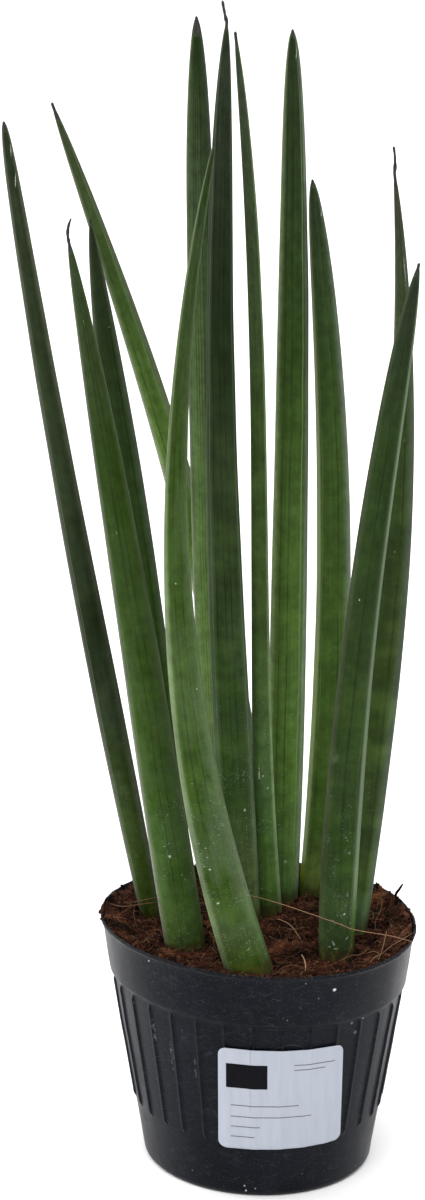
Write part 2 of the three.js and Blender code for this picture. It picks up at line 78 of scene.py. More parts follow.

# Each leaf: height of the tip, the handles of its centreline, its widths, taper and bluntness,
# the way its channel faces, and the withered thread at its tip (its rise, bend and hook in mm),
# all as in the CAD. The looks: slot, greens up the leaf as (share of the length, sRGB), which
# also hold painted light where a foot is lightened against the shade of the other leaves, the
# tints of its left and right painted flanks (painted light and shade of the leaf's sides and
# rims) and where they start, how far its dry tip reaches in mm, thin dark furrows in degrees
# from the front (their darkness is painted shade), painted highlights on the channel's ridges
# as (degrees, half width in degrees, strength), how strongly bands cross it, bloom (a whitish
# haze), scurf (white specks low down), and scars as (share of the length, degrees, half length
# and half width in mm, lean in degrees a mm, kind). All angles run from the front to the right.
LEAVES = {
    "leaf_01": dict(
        height=391, path=((-43.25, 13), (-64.25, 11), (-84.5, 6), (-99.75, 0)),
        widths=(7.75, 10, 8, 7.25), taper=0.35, blunt=0.38, channel=140, slot="leaf_dark",
        greens=((0, "425624"), (0.3, "222b1c"), (0.7, "2e3725"), (1, "2d3327")),
        left="52534c", right="525847", dry=2.5, lines=(), margins=((-38, 3, 0.25),),
        painted_flank=0.5, bands=0.2, bloom=0.1, scurf=0.3,
        scars=((0.968, 38, 2.3, 0.38, -4.5, "white"), (0.933, 30, 2.8, 0.36, -4.5, "white")),
    ),
    "leaf_02": dict(
        height=393.5, path=((-2.5, 46), (-13, 50), (-47.5, 46), (-85.75, 40)),
        widths=(11.5, 12.25, 9.75, 9), taper=0.5, blunt=0.6, channel=70, slot="leaf_light",
        greens=((0, "3f6022"), (0.45, "62813a"), (0.75, "475d30"), (1, "393e2e")),
        left="777a66", right="566146", dry=6, lines=(-15,), margins=((40, 5, 0.3),),
        painted_flank=0.5, bands=0.25, bloom=0.05, scurf=0.1, scars=(),
    ),
    "leaf_03": dict(
        height=354, path=((-29, -16), (-43.25, -20), (-57, -26), (-74.25, -30)),
        widths=(15, 14.25, 10.5, 6.75), taper=0.35, blunt=0.5, channel=-120, thread=(8, -0.4, 0.6),
        slot="leaf_mid",
        greens=((0, "546c3a"), (0.12, "3a5324"), (0.35, "33491b"), (0.7, "2c3e19"), (1, "37412d")),
        left="646558", right="42532c", dry=11.5, lines=(0, 21), margins=((-50, 4, 0.15),),
        bands=0.25, bloom=0.12, scurf=0.8,
        scars=((0.143, -1, 0.59, 0.39, 0, "white"), (0.113, 25, 0.33, 0.26, 0, "lime"),
               (0.204, 11, 0.33, 0.26, 0, "lime"), (0.02, -22, 0.33, 0.26, 0, "lime"),
               (0.025, 18, 0.33, 0.33, 0, "lime"), (0.61, -8, 0.6, 0.2, 0, "lime"),
               (0.895, 5, 0.8, 0.2, 0, "lime")),
    ),
    "leaf_04": dict(
        height=353, path=((-33, 36), (-39.75, 36), (-59.5, 32), (-70.75, 30)),
        widths=(10.75, 11.25, 12.75, 12.75), taper=0.5, blunt=0.7, channel=110, slot="leaf_dark",
        greens=((0, "2f5219"), (0.5, "314521"), (1, "262c22")),
        left="3b4431", right="505949", dry=2, lines=(30,), margins=(),
        painted_flank=0.5, bands=0.15, bloom=0.05, scurf=0.2, scars=((0.85, 30, 0.35, 0.5, 0, "lime"),),
    ),
    "leaf_05": dict(
        height=391, path=((-5, -37), (-38.75, -44), (-42, -46), (-24.25, -36)),
        widths=(17.25, 12.5, 7, 6.75), taper=0.4, blunt=0.6, channel=0, slot="leaf_light",
        greens=((0, "536f2c"), (0.04, "4a5d33"), (0.12, "334a1a"), (0.4, "3c5224"),
                (0.7, "33461f"), (1, "2a3621")),
        left="63704f", right="475b34", dry=2, lines=(-14, 20),
        margins=((-50, 5, 0.25), (66, 3, 0.25)), painted_flank=0.52, bands=0.3, bloom=0.24, scurf=1.0,
        scars=((0.25, 31, 2.6, 1.6, 0, "blotch"), (0.138, -23, 0.39, 0.33, 0, "white"),
               (0.095, -24, 0.52, 0.33, 0, "white"), (0.03, 19, 0.39, 0.65, 0, "lime"),
               (0.02, -36, 0.39, 0.33, 0, "lime"), (0.489, -8, 0.35, 0.4, 0, "white"),
               (0.36, 41, 0.33, 0.26, 0, "white")),
    ),
    "leaf_06": dict(
        height=428.5, path=((-15, 33), (-26.5, 27), (-28, 15), (-32.75, 9)),
        widths=(11, 11, 10.25, 8.75), taper=0.2, blunt=0.5, channel=-20, slot="leaf_mid",
        greens=((0, "8a9c6a"), (0.3, "6e8c4b"), (0.55, "5a7143"), (0.8, "415036"), (1, "232e1b")),
        left="515e41", right="5a6758", dry=6, lines=(-30, -17, -5, 10), margins=(),
        painted_flank=0.55, bands=0.35, bloom=0.05, scurf=0.2, scars=(),
    ),
    "leaf_07": dict(
        height=428.5, path=((-8, 16), (-17.25, 8), (-24.75, 0), (-21.75, -6)),
        widths=(13.75, 13.25, 10, 8), taper=0.25, blunt=0.6, channel=5, thread=(7, -0.9, -1.6),
        slot="leaf_dark",
        greens=((0, "617346"), (0.15, "354d23"), (0.4, "314025"), (0.7, "1d2719"), (1, "2f352b")),
        left="293a1e", right="3c4c35", dry=9, lines=(-32, -3, 20),
        margins=((-50, 3, 0.2), (60, 3, 0.3)), bands=0.45, bloom=0.08, scurf=0.8,
        scars=((0.133, 30, 0.65, 0.33, 0, "white"),),
    ),
    "leaf_08": dict(
        height=424.5, path=((2, 23), (-7.75, 14), (-3, 4), (-18.75, -2)),
        widths=(9.75, 6.75, 5.75, 6.75), taper=0.5, blunt=0.55, channel=40, slot="leaf_mid",
        greens=((0, "547538"), (0.15, "4b6838"), (0.35, "3d5028"), (0.6, "374727"), (1, "3a4034")),
        left="2f4221", right="6a7e55", dry=4.5, lines=(), margins=((66, 5, 0.6),),
        bands=0.6, bloom=0.05, scurf=0.8,
        scars=((0.172, -20, 2.6, 0.35, 0, "white"), (0.169, 2, 0.45, 0.33, 0, "white"),
               (0.153, 29, 0.45, 0.39, 0, "white")),
    ),
    "leaf_09": dict(
        height=424, path=((7.5, 38), (5.75, 34), (6, 26), (1.25, 18)),
        widths=(11.25, 13.75, 11.75, 13.25), taper=0.4, blunt=0.5, channel=75, slot="leaf_light",
        greens=((0, "688b4e"), (0.15, "587736"), (0.4, "4c662f"), (0.65, "344823"), (1, "2b3325")),
        left="78875a", right="74846c", dry=1.5, lines=(-6, -32), margins=((34, 4, 0.5),),
        painted_flank=0.6, bands=0.3, bloom=0.05, scurf=0.5,
        scars=((0.048, 2, 0.59, 0.52, 0, "white"), (0.978, 33, 2.8, 0.38, -3.8, "white")),
    ),
    "leaf_10": dict(
        height=370, path=((19.5, 44.5), (26.75, 42), (23.25, 32), (10, 24)),
        widths=(11.75, 13.5, 12, 12.75), taper=0.45, blunt=0.5, channel=-75, slot="leaf_mid",
        greens=((0, "7b8f4d"), (0.1, "4c682f"), (0.4, "465f2c"), (0.7, "3b5028"), (1, "2c3528")),
        left="6b8326", right="6a7863", dry=1.5, lines=(17,), margins=((-36, 3, 0.3),),
        painted_flank=0.5, bands=0.5, bloom=0.03, scurf=0.2, scars=((0.958, 50, 1.4, 0.36, -5, "white"),),
    ),
    "leaf_11": dict(
        height=348.5, path=((27.25, -19), (26.75, -24), (34.25, -26), (47.5, -24)),
        widths=(13, 13.25, 11, 14), taper=0.4, blunt=0.7, channel=76, slot="leaf_dark",
        greens=((0, "445636"), (0.15, "2c401c"), (0.4, "2e3e21"), (0.75, "2d3d22"), (1, "2d322b")),
        left="3e472f", right="45602c", dry=3.5, lines=(-3,), margins=((36, 3, 0.1), (52, 3, 0.1)),
        painted_flank=0.6, bands=0.35, bloom=0.04, scurf=0.8,
        scars=((0.022, -12, 1.2, 0.35, 3, "white"), (0.014, -4, 0.35, 1.0, 0, "white"),
               (0.016, -26, 0.35, 0.6, 0, "white"), (0.03, 30, 0.8, 0.25, -4, "white"),
               (0.068, 17, 0.45, 0.45, 0, "white"), (0.535, -22, 0.4, 0.3, 0, "white"),
               (0.3, -45, 2.5, 1.6, -5, "haze")),
    ),
    "leaf_12": dict(
        height=376.5, path=((35.25, 6), (41.75, 6), (51.75, 4), (38.75, 2)),
        widths=(8.5, 11.75, 10.25, 5.75), taper=0.6, blunt=0.48, channel=60, thread=(9, 0, -0.6),
        slot="leaf_dark", dip=4.2,
        greens=((0, "728f64"), (0.06, "43572f"), (0.4, "334221"), (0.75, "3c4b2e"), (1, "3c3d35")),
        left="78746b", right="43523c", dry=15, lines=(12,), margins=(),
        bands=0.9, bloom=0.05, scurf=0.3,
        scars=((0.88, 33, 6.3, 0.25, 0.5, "white"), (0.982, 0, 0.3, 6.0, 0, "white"),
               (0.665, 10, 0.98, 0.26, 0, "rust"), (0.52, -5, 0.26, 0.26, 0, "lime")),
    ),
}


# ------------------------------------------------------------------ arithmetic

def linear(code):
    """An sRGB colour code such as "3c5a2a" as linear red, green and blue."""
    parts = [int(code[at:at + 2], 16) / 255 for at in (0, 2, 4)]
    return np.array([v / 12.92 if v <= 0.04045 else ((v + 0.055) / 1.055) ** 2.4 for v in parts])


def leaf_green(code):
    """The pigment of a leaf that looks like an sRGB code under its thin shine."""
    return np.maximum(linear(code) * LEAF_GAIN - LEAF_SHINE, 0.0015)


def smooth(low, high, value):
    """0 below low, 1 above high, and an even climb between them."""
    share = np.clip((value - low) / (high - low), 0, 1)
    return share * share * (3 - 2 * share)


LATTICES = {}


def lattice_noise(points, seed):
    """Smooth value noise from -1 to 1 at an array of 3-D points."""
    if seed not in LATTICES:
        draw = np.random.RandomState(seed)
        LATTICES[seed] = draw.permutation(256), draw.uniform(-1, 1, 256)
    order, values = LATTICES[seed]
    cell = np.floor(points).astype(int)
    part = points - cell
    part = part * part * (3 - 2 * part)
    total = np.zeros(points.shape[:-1])
    for corner in np.ndindex(2, 2, 2):
        mixed, weight = 0, 1
        for axis, step in enumerate(corner):
            mixed = order[(mixed + cell[..., axis] + step) & 255]
            weight = weight * (part[..., axis] if step else 1 - part[..., axis])
        total += weight * values[mixed]
    return total


def layered(points, layers):
    """Layers of noise added up, each as (size in mm, seed, height)."""
    return sum(height * lattice_noise(points / size, seed) for size, seed, height in layers)


def settle(points):
    """Carries points of the upright pot along with the sag of its soft wall."""
    x, y, z = points[..., 0], points[..., 1], points[..., 2]
    held = np.clip(z / POT["collar_low"], 0, 1)
    twist = SAG["twist"] * x * y / POT["rim"] ** 2
    return np.stack([
        x + SAG["drift"] * z / POT["height"], y, z + (twist - x * SAG["slope"]) * held,
    ], axis=-1)


def polar(radius, angle, z):
    """Points at an angle from the front towards the right."""
    radius, angle, z = np.broadcast_arrays(radius, angle, z)
    return np.stack([radius * np.sin(angle), -radius * np.cos(angle), z], axis=-1)


def wall_radius(z):
    """Radius of the pot's outside below the collar."""
    top = POT["collar"] - POT["collar_step"]
    return POT["base"] + (top - POT["base"]) * z / POT["collar_low"]


def collar_radius(z):
    """Radius of the collar's outside."""
    share = (z - POT["collar_low"]) / (POT["height"] - POT["collar_low"])
    return POT["collar"] + (POT["rim"] - POT["collar"]) * share


def inner_radius(z):
    """Radius of the pot's hollow at one height."""
    return float(wall_radius(z) if z < POT["collar_low"] else collar_radius(z)) - POT["wall"]


# ------------------------------------------------------------------ meshes

class Build:
    """Collects vertices, faces and vertex attributes, then makes one mesh object of them."""

    def __init__(self):
        self.points = []
        self.quads = []
        self.triangles = []
        self.values = {}
        self.count = 0

    def add(self, points, quads=(), triangles=(), **values):
        points = np.asarray(points, float).reshape(-1, 3)
        self.points.append(points)
        self.quads.append(np.asarray(quads, int).reshape(-1, 4) + self.count)
        self.triangles.append(np.asarray(triangles, int).reshape(-1, 3) + self.count)
        for name, value in values.items():
            value = np.broadcast_to(np.asarray(value, float), (len(points), 3))
            self.values.setdefault(name, []).append(value)
        self.count += len(points)

    def skin(self, rings, first, last, **values):
        """A closed skin through rings of points, closed by a point at each end."""
        rings = np.asarray(rings, float)
        rows, around = rings.shape[:2]
        at = np.arange(rows * around).reshape(rows, around)
        here, there = at, np.roll(at, -1, axis=1)
        quads = np.stack([here[:-1], there[:-1], there[1:], here[1:]], axis=-1).reshape(-1, 4)
        low, high = rows * around, rows * around + 1
        fans = [
            np.stack([np.full(around, low), there[0], here[0]], axis=-1),
            np.stack([here[-1], there[-1], np.full(around, high)], axis=-1),
        ]
        points = np.concatenate([rings.reshape(-1, 3), [first, last]])
        spread = {}
        for name, value in values.items():
            value = np.asarray(value, float)
            if value.ndim == 3:
                ends = [value[0].mean(axis=0), value[-1].mean(axis=0)]
                value = np.concatenate([value.reshape(-1, 3), ends])
            spread[name] = value
        self.add(points, quads, np.concatenate(fans), **spread)

    def finish(self, name, material, replaces=()):
        points = np.concatenate(self.points) * MM
        quads = np.concatenate(self.quads)
        triangles = np.concatenate(self.triangles)
        mesh = bpy.data.meshes.new(name)
        mesh.vertices.add(len(points))
        mesh.vertices.foreach_set("co", points.astype(np.float32).ravel())
        corners = np.concatenate([quads.ravel(), triangles.ravel()]).astype(np.int32)
        starts = np.concatenate([
            np.arange(len(quads)) * 4, len(quads) * 4 + np.arange(len(triangles)) * 3,
        ]).astype(np.int32)
        mesh.loops.add(len(corners))
        mesh.loops.foreach_set("vertex_index", corners)
        mesh.polygons.add(len(starts))
        mesh.polygons.foreach_set("loop_start", starts)
        mesh.update(calc_edges=True)
        mesh.validate()
        for key, parts in self.values.items():
            attribute = mesh.attributes.new(key, "FLOAT_VECTOR", "POINT")
            attribute.data.foreach_set("vector", np.concatenate(parts).astype(np.float32).ravel())
        mesh.shade_smooth()
        mesh.materials.append(material)
        piece = bpy.data.objects.new(name, mesh)
        bpy.context.scene.collection.objects.link(piece)
        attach(piece, ROOT)
        if replaces:
            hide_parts(*replaces)
        return piece


def tube(build, path, radii, sides, **values):
    """A closed tube along a path, with one radius for each of its points."""
    path = np.asarray(path, float)
    along = np.gradient(path, axis=0)
    along /= np.linalg.norm(along, axis=1, keepdims=True)
    lift = np.where(np.abs(along[:, 2:3]) > 0.9, [[1.0, 0, 0]], [[0, 0, 1.0]])
    side = np.cross(along, lift)
    side /= np.linalg.norm(side, axis=1, keepdims=True)
    up = np.cross(side, along)
    turn = np.arange(sides) * TAU / sides
    radii = np.broadcast_to(np.asarray(radii, float), len(path))
    rings = (
        path[:, None]
        + side[:, None] * (np.cos(turn)[None, :, None] * radii[:, None, None])
        + up[:, None] * (np.sin(turn)[None, :, None] * radii[:, None, None])
    )
    build.skin(rings, path[0] - along[0] * radii[0], path[-1] + along[-1] * radii[-1], **values)


def bent_path(handles, steps):
    """A smooth path through points."""
    handles = np.asarray(handles, float)
    before, after = 2 * handles[:1] - handles[1:2], 2 * handles[-1:] - handles[-2:-1]
    whole = np.concatenate([before, handles, after])
    found = []
    for at in np.linspace(0, len(handles) - 1, steps):
        start = min(int(at), len(handles) - 2)
        t = at - start
        a, b, c, d = whole[start:start + 4]
        found.append(0.5 * (
            2 * b + (c - a) * t + (2 * a - 5 * b + 4 * c - d) * t * t
            + (3 * b - a - 3 * c + d) * t ** 3
        ))
    return np.array(found)


# ------------------------------------------------------------------ material nodes

class Nodes:
    """A short way to write a material's nodes. A value is a number, a colour or a socket."""

    def __init__(self, name):
        self.material = bpy.data.materials.new(name)
        self.material.use_nodes = True
        self.tree = self.material.node_tree
        self.tree.nodes.clear()
        self.shader = self.new("ShaderNodeBsdfPrincipled")
        output = self.new("ShaderNodeOutputMaterial")
        self.join(self.shader.outputs[0], output.inputs["Surface"])

    def new(self, kind, **settings):
        node = self.tree.nodes.new(kind)
        for key, value in settings.items():
            setattr(node, key, value)
        return node

    def join(self, source, target):
        if isinstance(source, (int, float)):
            target.default_value = source
        elif isinstance(source, (tuple, list, np.ndarray)):
            parts = [float(v) for v in source]
            if len(target.default_value) == 4:
                parts = parts[:3] + [1.0]
            target.default_value = parts
        else:
            self.tree.links.new(source, target)

    def fed(self, kind, values, output=0, **settings):
        """One output of a new node whose inputs, by place or by name, hold the values."""
        node = self.new(kind, **settings)
        for key, value in values.items():
            self.join(value, node.inputs[key])
        return node.outputs[output]

    def set(self, **values):
        """Fills the shader's own sockets."""
        for key, value in values.items():
            self.join(value, self.shader.inputs[key.replace("_", " ")])

    def attribute(self, name):
        return self.new("ShaderNodeAttribute", attribute_name=name).outputs["Vector"]

    def split(self, vector):
        node = self.new("ShaderNodeSeparateXYZ")
        self.join(vector, node.inputs[0])
        return node.outputs

    def math(self, operation, *values):
        return self.fed("ShaderNodeMath", dict(enumerate(values)), operation=operation)

    def plus(self, a, b):
        return self.math("ADD", a, b)

    def minus(self, a, b):
        return self.math("SUBTRACT", a, b)

    def times(self, product, *others):
        for other in others:
            product = self.math("MULTIPLY", product, other)
        return product

    def most(self, values):
        """The largest of several values."""
        largest, *others = values
        for other in others:
            largest = self.math("MAXIMUM", largest, other)
        return largest

    def gap(self, value, middle):
        """How far a value is from a middle, to either side."""
        return self.math("ABSOLUTE", self.minus(value, middle))

    def reach(self, across, up):
        """How far a point lies from the origin."""
        return self.math("SQRT", self.plus(self.times(across, across), self.times(up, up)))

    def span(self, value, low, high, to_low=0.0, to_high=1.0, even=True):
        """Maps low..high onto to_low..to_high, and holds it there."""
        values = dict(enumerate((value, low, high, to_low, to_high)))
        kind = "SMOOTHSTEP" if even else "LINEAR"
        return self.fed("ShaderNodeMapRange", values, interpolation_type=kind)

    def swing(self, pattern, low, high, even=False):
        """Maps the usual range of a noise onto low..high."""
        return self.span(pattern, 0.3, 0.7, low, high, even)

    def mix(self, share, a, b):
        return self.fed("ShaderNodeMix", {0: share, 6: a, 7: b}, 2, data_type="RGBA")

    def shaded(self, colour, shade):
        values = {0: colour, "Scale": shade}
        return self.fed("ShaderNodeVectorMath", values, operation="SCALE")

    def scaled(self, vector, scale, shift):
        values = dict(enumerate((vector, scale, shift)))
        return self.fed("ShaderNodeVectorMath", values, operation="MULTIPLY_ADD")

    def noise(self, vector, scale, shift=(0, 0, 0), detail=3.0, rough=0.6):
        return self.fed("ShaderNodeTexNoise", {
            "Vector": self.scaled(vector, scale, shift), "Scale": 1.0, "Detail": detail,
            "Roughness": rough,
        })

    def cells(self, vector, scale, shift):
        """Distance to the nearest cell's middle, and two random numbers of that cell."""
        node = self.new("ShaderNodeTexVoronoi")
        self.join(self.scaled(vector, scale, shift), node.inputs["Vector"])
        self.join(1.0, node.inputs["Scale"])
        first, second, _ = self.split(node.outputs["Color"])
        return node.outputs["Distance"], first, second

    def bump(self, height, strength, distance):
        """A bump of a height map, with its depth in mm."""
        return self.fed("ShaderNodeBump", {
            "Height": height, "Strength": strength, "Distance": distance * MM,
        })


# ------------------------------------------------------------------ leaves

# Faces round a leaf and rows up it, and how much the rows crowd towards its tip.
LEAF_AROUND, LEAF_ROWS, LEAF_CROWDING = 72, 230, 1.25
# Size of the wide and the soft bumps on a leaf, across it twice and along it, and their height.
WIDE_BUMPS, WIDE_HEIGHT = (5.0, 5.0, 30.0), 0.07
SOFT_BUMPS, SOFT_HEIGHT = (2.2, 2.2, 24.0), 0.035
# Widths in mm between which the bumps grow to that height, and the least width of all.
BUMPS_FROM, LEAST_WIDTH = (1.5, 5.0), 1.1
# The dry tip's edge: half its width in mm, and how far the soft bumps fray it.
DRY_EDGE, DRY_FRAY = 1.5, 1.2
# The withered thread: rows, width in mm at both ends, and the depth and pace of its knots.
THREAD_ROWS, THREAD_WIDTHS, THREAD_KNOTS = 14, (1.25, 0.8), (0.22, 13, 5)
# The raised lips of the channel: height as a share of the half width, and width in degrees.
CHANNEL_LIP = (0.012, 5)


def leaf_centres(leaf, shares):
    """Centres and headings along the leaf's Bezier centreline."""
    low = SOIL["level"]
    rise = leaf["height"] - low
    a, b, c, d = [
        np.array([x, y, low + rise * step / 3]) for step, (x, y) in enumerate(leaf["path"])
    ]
    t = np.asarray(shares, float)[:, None]
    centres = (1 - t) ** 3 * a + 3 * (1 - t) ** 2 * t * b + 3 * (1 - t) * t * t * c + t ** 3 * d
    along = (1 - t) ** 2 * (b - a) + 2 * (1 - t) * t * (c - b) + t * t * (d - c)
    return centres, along / np.linalg.norm(along, axis=1, keepdims=True)


def leaf_widths(leaf, shares):
    """Widths along the leaf: a curve through its four widths, tapered towards the tip."""
    t = np.asarray(shares, float)
    stations = (0, 1 / 3, 2 / 3, 1)
    width = np.zeros_like(t)
    for index, station in enumerate(stations):
        term = np.full_like(t, leaf["widths"][index])
        for other in stations:
            if other != station:
                term *= (t - other) / (station - other)
        width += term
    left = np.minimum(1, (1 - t) / leaf["taper"])
    return np.maximum(LEAST_WIDTH, width * (1 - (1 - left) ** 2) ** leaf["blunt"])


def away(angles, middle):
    """Degrees from middle to each angle, from -180 to 180."""
    return (angles - middle + 180) % 360 - 180


def leaf_section(leaf, angles):
    """Section of the leaf as shares of its half width, at angles in degrees from the front."""
    half = CHANNEL["half"]
    turned = away(angles, leaf["channel"])
    inside = np.clip(np.abs(turned) / half, 0, 1)
    sunk = CHANNEL["sink"] * (0.5 + 0.5 * np.cos(math.pi * inside)) ** CHANNEL["power"]
    for edge in (-half, half):
        sunk -= CHANNEL_LIP[0] * np.exp(-((turned - edge) / CHANNEL_LIP[1]) ** 2)
    turn = np.radians(angles - 90)
    across, behind = np.cos(turn) * (1 - sunk), np.sin(turn) * (1 - sunk)
    least, most = across.min(), across.max()
    return (2 * across - least - most) / (most - least), behind


def leaf_rings(leaf, centres, along, widths, angles, relief):
    """Rings of points round the centreline, raised by the relief in mm."""
    side = np.array([1.0, 0, 0]) - along * along[:, :1]
    side /= np.linalg.norm(side, axis=1, keepdims=True)
    back = np.cross(along, side)
    across, behind = leaf_section(leaf, angles)
    depth = 1 + (ROUNDNESS - 1) * np.minimum(1, widths / 4)
    size = (widths / 2)[:, None] * (1 + relief / np.maximum(widths / 2, 1)[:, None])
    return (
        centres[:, None] + side[:, None] * (across * size)[..., None]
        + back[:, None] * (behind * size * depth[:, None])[..., None]
    )


def tip_thread(leaf, tip, index):
    """Centres, headings, widths and lengths of the withered thread at the tip of a leaf."""
    rise, bend, hook = leaf["thread"]
    a, b, c = tip, tip + (bend * 2 - hook / 2, 0, rise / 2), tip + (hook, 0, rise)
    s = np.linspace(0, 1, THREAD_ROWS + 1)[1:, None]
    centres = (1 - s) ** 2 * a + 2 * (1 - s) * s * b + s * s * c
    heading = (1 - s) * (b - a) + s * (c - b)
    swell, quick, slow = THREAD_KNOTS
    knots = 1 + swell * np.sin(quick * s[:, 0] + index) * np.sin(slow * s[:, 0])
    widths = np.linspace(*THREAD_WIDTHS, len(s)) * knots
    return centres, heading / np.linalg.norm(heading, axis=1, keepdims=True), widths, rise * s[:, 0]


def leaf_tint(leaf, shares, angles, wide):
    """Greens up the leaf, with the tint of each flank where it turns away from the front: painted
    light and shade of the leaf's sides and rims.
    """
    stops = leaf["greens"]
    tint = np.stack([
        np.interp(shares, [at for at, _ in stops], [leaf_green(code)[part] for _, code in stops])
        for part in range(3)
    ], axis=-1)[:, None, :] * np.ones((1, len(angles), 1))
    lean = np.sin(np.radians(angles))
    ahead = smooth(*PAINTED_FLANK_BEHIND, np.abs(angles))
    depth = np.clip(tint.mean(axis=-1, keepdims=True) / tint.mean(), 0.55, 1.5) ** 0.8
    # Each flank's tint paints light and shade over the green where the leaf turns from the front.
    for painted_flank, sign in (("left", -1), ("right", 1)):
        share = smooth(leaf.get("painted_flank", PAINTED_FLANK), PAINTED_FLANK_FULL, sign * lean + 0.05 * wide)
        tint += (leaf_green(leaf[painted_flank]) * depth - tint) * (share * ahead)[..., None]
    return tint


def make_leaf(name, leaf, index):
    """One leaf with its buried foot, its dry tip and, if it has one, its thread."""
    angles = np.arange(LEAF_AROUND) * 360 / LEAF_AROUND - 180
    shares = 1 - (1 - np.linspace(0, 1, LEAF_ROWS)) ** LEAF_CROWDING
    centres, along = leaf_centres(leaf, shares)
    widths = leaf_widths(leaf, shares)
    length = np.concatenate([[0], np.cumsum(np.linalg.norm(np.diff(centres, axis=0), axis=1))])
    scars = [(float(np.interp(scar[0], shares, length)), *scar[1:]) for scar in leaf["scars"]]
    if "thread" in leaf:
        more = tip_thread(leaf, centres[-1], index)
        centres, along, widths = (
            np.concatenate(pair) for pair in zip((centres, along, widths), more)
        )
        length = np.concatenate([length, length[-1] + more[3]])
        shares = np.concatenate([shares, np.ones(THREAD_ROWS)])

    turn = np.radians(angles)
    radius = float(np.mean(leaf["widths"])) / 2
    place = np.zeros((len(shares), LEAF_AROUND, 3))
    place[..., :2] = np.stack([np.sin(turn), -np.cos(turn)], axis=-1) * radius
    place[..., 2] = length[:, None]
    wide = lattice_noise(place / WIDE_BUMPS + index, 3)
    soft = lattice_noise(place / SOFT_BUMPS + index, 4)
    relief = (WIDE_HEIGHT * wide + SOFT_HEIGHT * soft) * smooth(*BUMPS_FROM, widths)[:, None]
    below_tip = (length[-1] - length)[:, None] + DRY_FRAY * soft
    dry = smooth(leaf["dry"] + DRY_EDGE, leaf["dry"] - DRY_EDGE, below_tip)
    marks = np.stack([shares[:, None] + 0 * dry, dry, 0 * dry], axis=-1)

    # The foot in the soil: rings below the first one, which lend it their looks.
    deep, narrow = np.array(FOOT["rings"]).T
    feet = leaf_rings(
        leaf, centres[0] - along[0] * FOOT["length"] * deep[:, None],
        np.repeat(along[:1], len(deep), axis=0), widths[0] * narrow, angles,
        np.zeros((len(deep), LEAF_AROUND)),
    )

    def with_feet(values):
        return np.concatenate([np.repeat(values[:1], len(deep), axis=0), values])

    build = Build()
    build.skin(
        np.concatenate([feet, leaf_rings(leaf, centres, along, widths, angles, relief)]),
        centres[0] - along[0] * (FOOT["length"] + FOOT["end"]),
        centres[-1] + along[-1] * widths[-1] * 0.6,
        tint=with_feet(leaf_tint(leaf, shares, angles, wide)), marks=with_feet(marks),
        place=with_feet(place),
    )
    material = leaf_material(name, leaf, index, scars, radius)
    build.finish(name + "_skin", material, [name])


# Colour, strength and softness of each kind of scar.
SCARS = {
    "white": ((0.50, 0.56, 0.46), 0.7, 0.5),
    "lime": ((0.32, 0.40, 0.16), 0.5, 0.6),
    "rust": ((0.16, 0.10, 0.04), 0.6, 0.5),
    "blotch": ((0.018, 0.042, 0.008), 0.7, 0.9),
    "haze": ((0.24, 0.28, 0.25), 0.13, 0.95),
}


OWN = None    # stands for the leaf's own seed in the shifts below

# Patterns on a leaf: cycles a millimetre (across it twice, and along it), shift, detail and
# roughness.
LEAF_NOISES = {
    "streaks": ((0.75, 0.75, 0.011), (OWN, 0, 0), 2.0, 0.5),
    "fibres": ((2.6, 2.6, 0.06), (0, OWN, 0), 2.0, 0.6),
    "crossing": ((0.06, 0.06, 0.09), (0, 0, OWN), 1.6, 0.5),
    "mottle": ((0.3, 0.3, 0.24), (OWN, OWN, 0), 4.0, 0.62),
    "grain": ((3.0, 3.0, 3.0), (OWN, 0, OWN), 3.0, 0.6),
    "weave": ((0.4, 0.4, 0.7), (0, OWN, OWN), 3.0, 0.65),
    "wander": ((0, 0, 0.02), (OWN, 3.0, 0), 2.0, 0.5),
    "fading": ((0, 0, 0.035), (0, OWN, 5.0), 2.0, 0.6),
    "haze": ((0.14, 0.14, 0.035), (OWN, 0, 9.0), 3.0, 0.6),
    "powder": ((2.0, 2.0, 1.1), (0, 0, OWN), 3.0, 0.7),
    "cluster": ((0.2, 0.2, 0.11), (OWN, 4.0, 0), 3.0, 0.6),
    "torn": ((1.6, 1.6, 1.6), (OWN, 2.0, OWN), 3.0, 0.6),
    "withered": ((0.9, 0.9, 0.4), (OWN, 0, 0), 3.0, 0.6),
}
# How far patterns shade the green, as a share of it, and how much more on a banded leaf.
LEAF_SHADES = (
    ("streaks", 0.12, 0), ("fibres", 0.09, 0), ("crossing", 0, 0.32), ("mottle", 0.24, 0),
    ("weave", 0.05, 0.03), ("grain", 0.12, 0),
)
# Colours of the leaf's marks. The pale tone laid along the channel's ridges is a painted highlight,
# and the dark dust tone is also painted shade round the foot.
LEAF_TONES = dict(
    band=(0.085, 0.135, 0.03), margin=(0.18, 0.25, 0.125), bloom=(0.23, 0.29, 0.19),
    scurf=(0.4, 0.46, 0.42), dust=(0.05, 0.032, 0.01), foot=(0.11, 0.13, 0.02),
    dry=(0.018, 0.019, 0.016), dry_pale=(0.05, 0.052, 0.044), ring=(0.2, 0.2, 0.15),
)
# Thin dark furrows round the back of every leaf, in degrees, and how dark the painted shade in
# all such furrows is.
LINES_BEHIND, FURROW_SHADE = (-150, -118, -92, 86, 122, 155), 0.5
# White specks: cells a millimetre, share of the cells left bare, strength; and how much
# flatter than wide they are.
SCURF, SCURF_FLAT = ((0.7, 0.7, 0.5), (1.3, 0.55, 0.42), (2.3, 0.5, 0.34)), 1.7
# Where a scar ends, as a share of its half size, and by how much its torn edge wanders.
SCAR_EDGE, SCAR_TORN = 1.15, (-0.5, 0.7)
# What is added to the seed from leaf to leaf.
SEED_STEP = 7.31


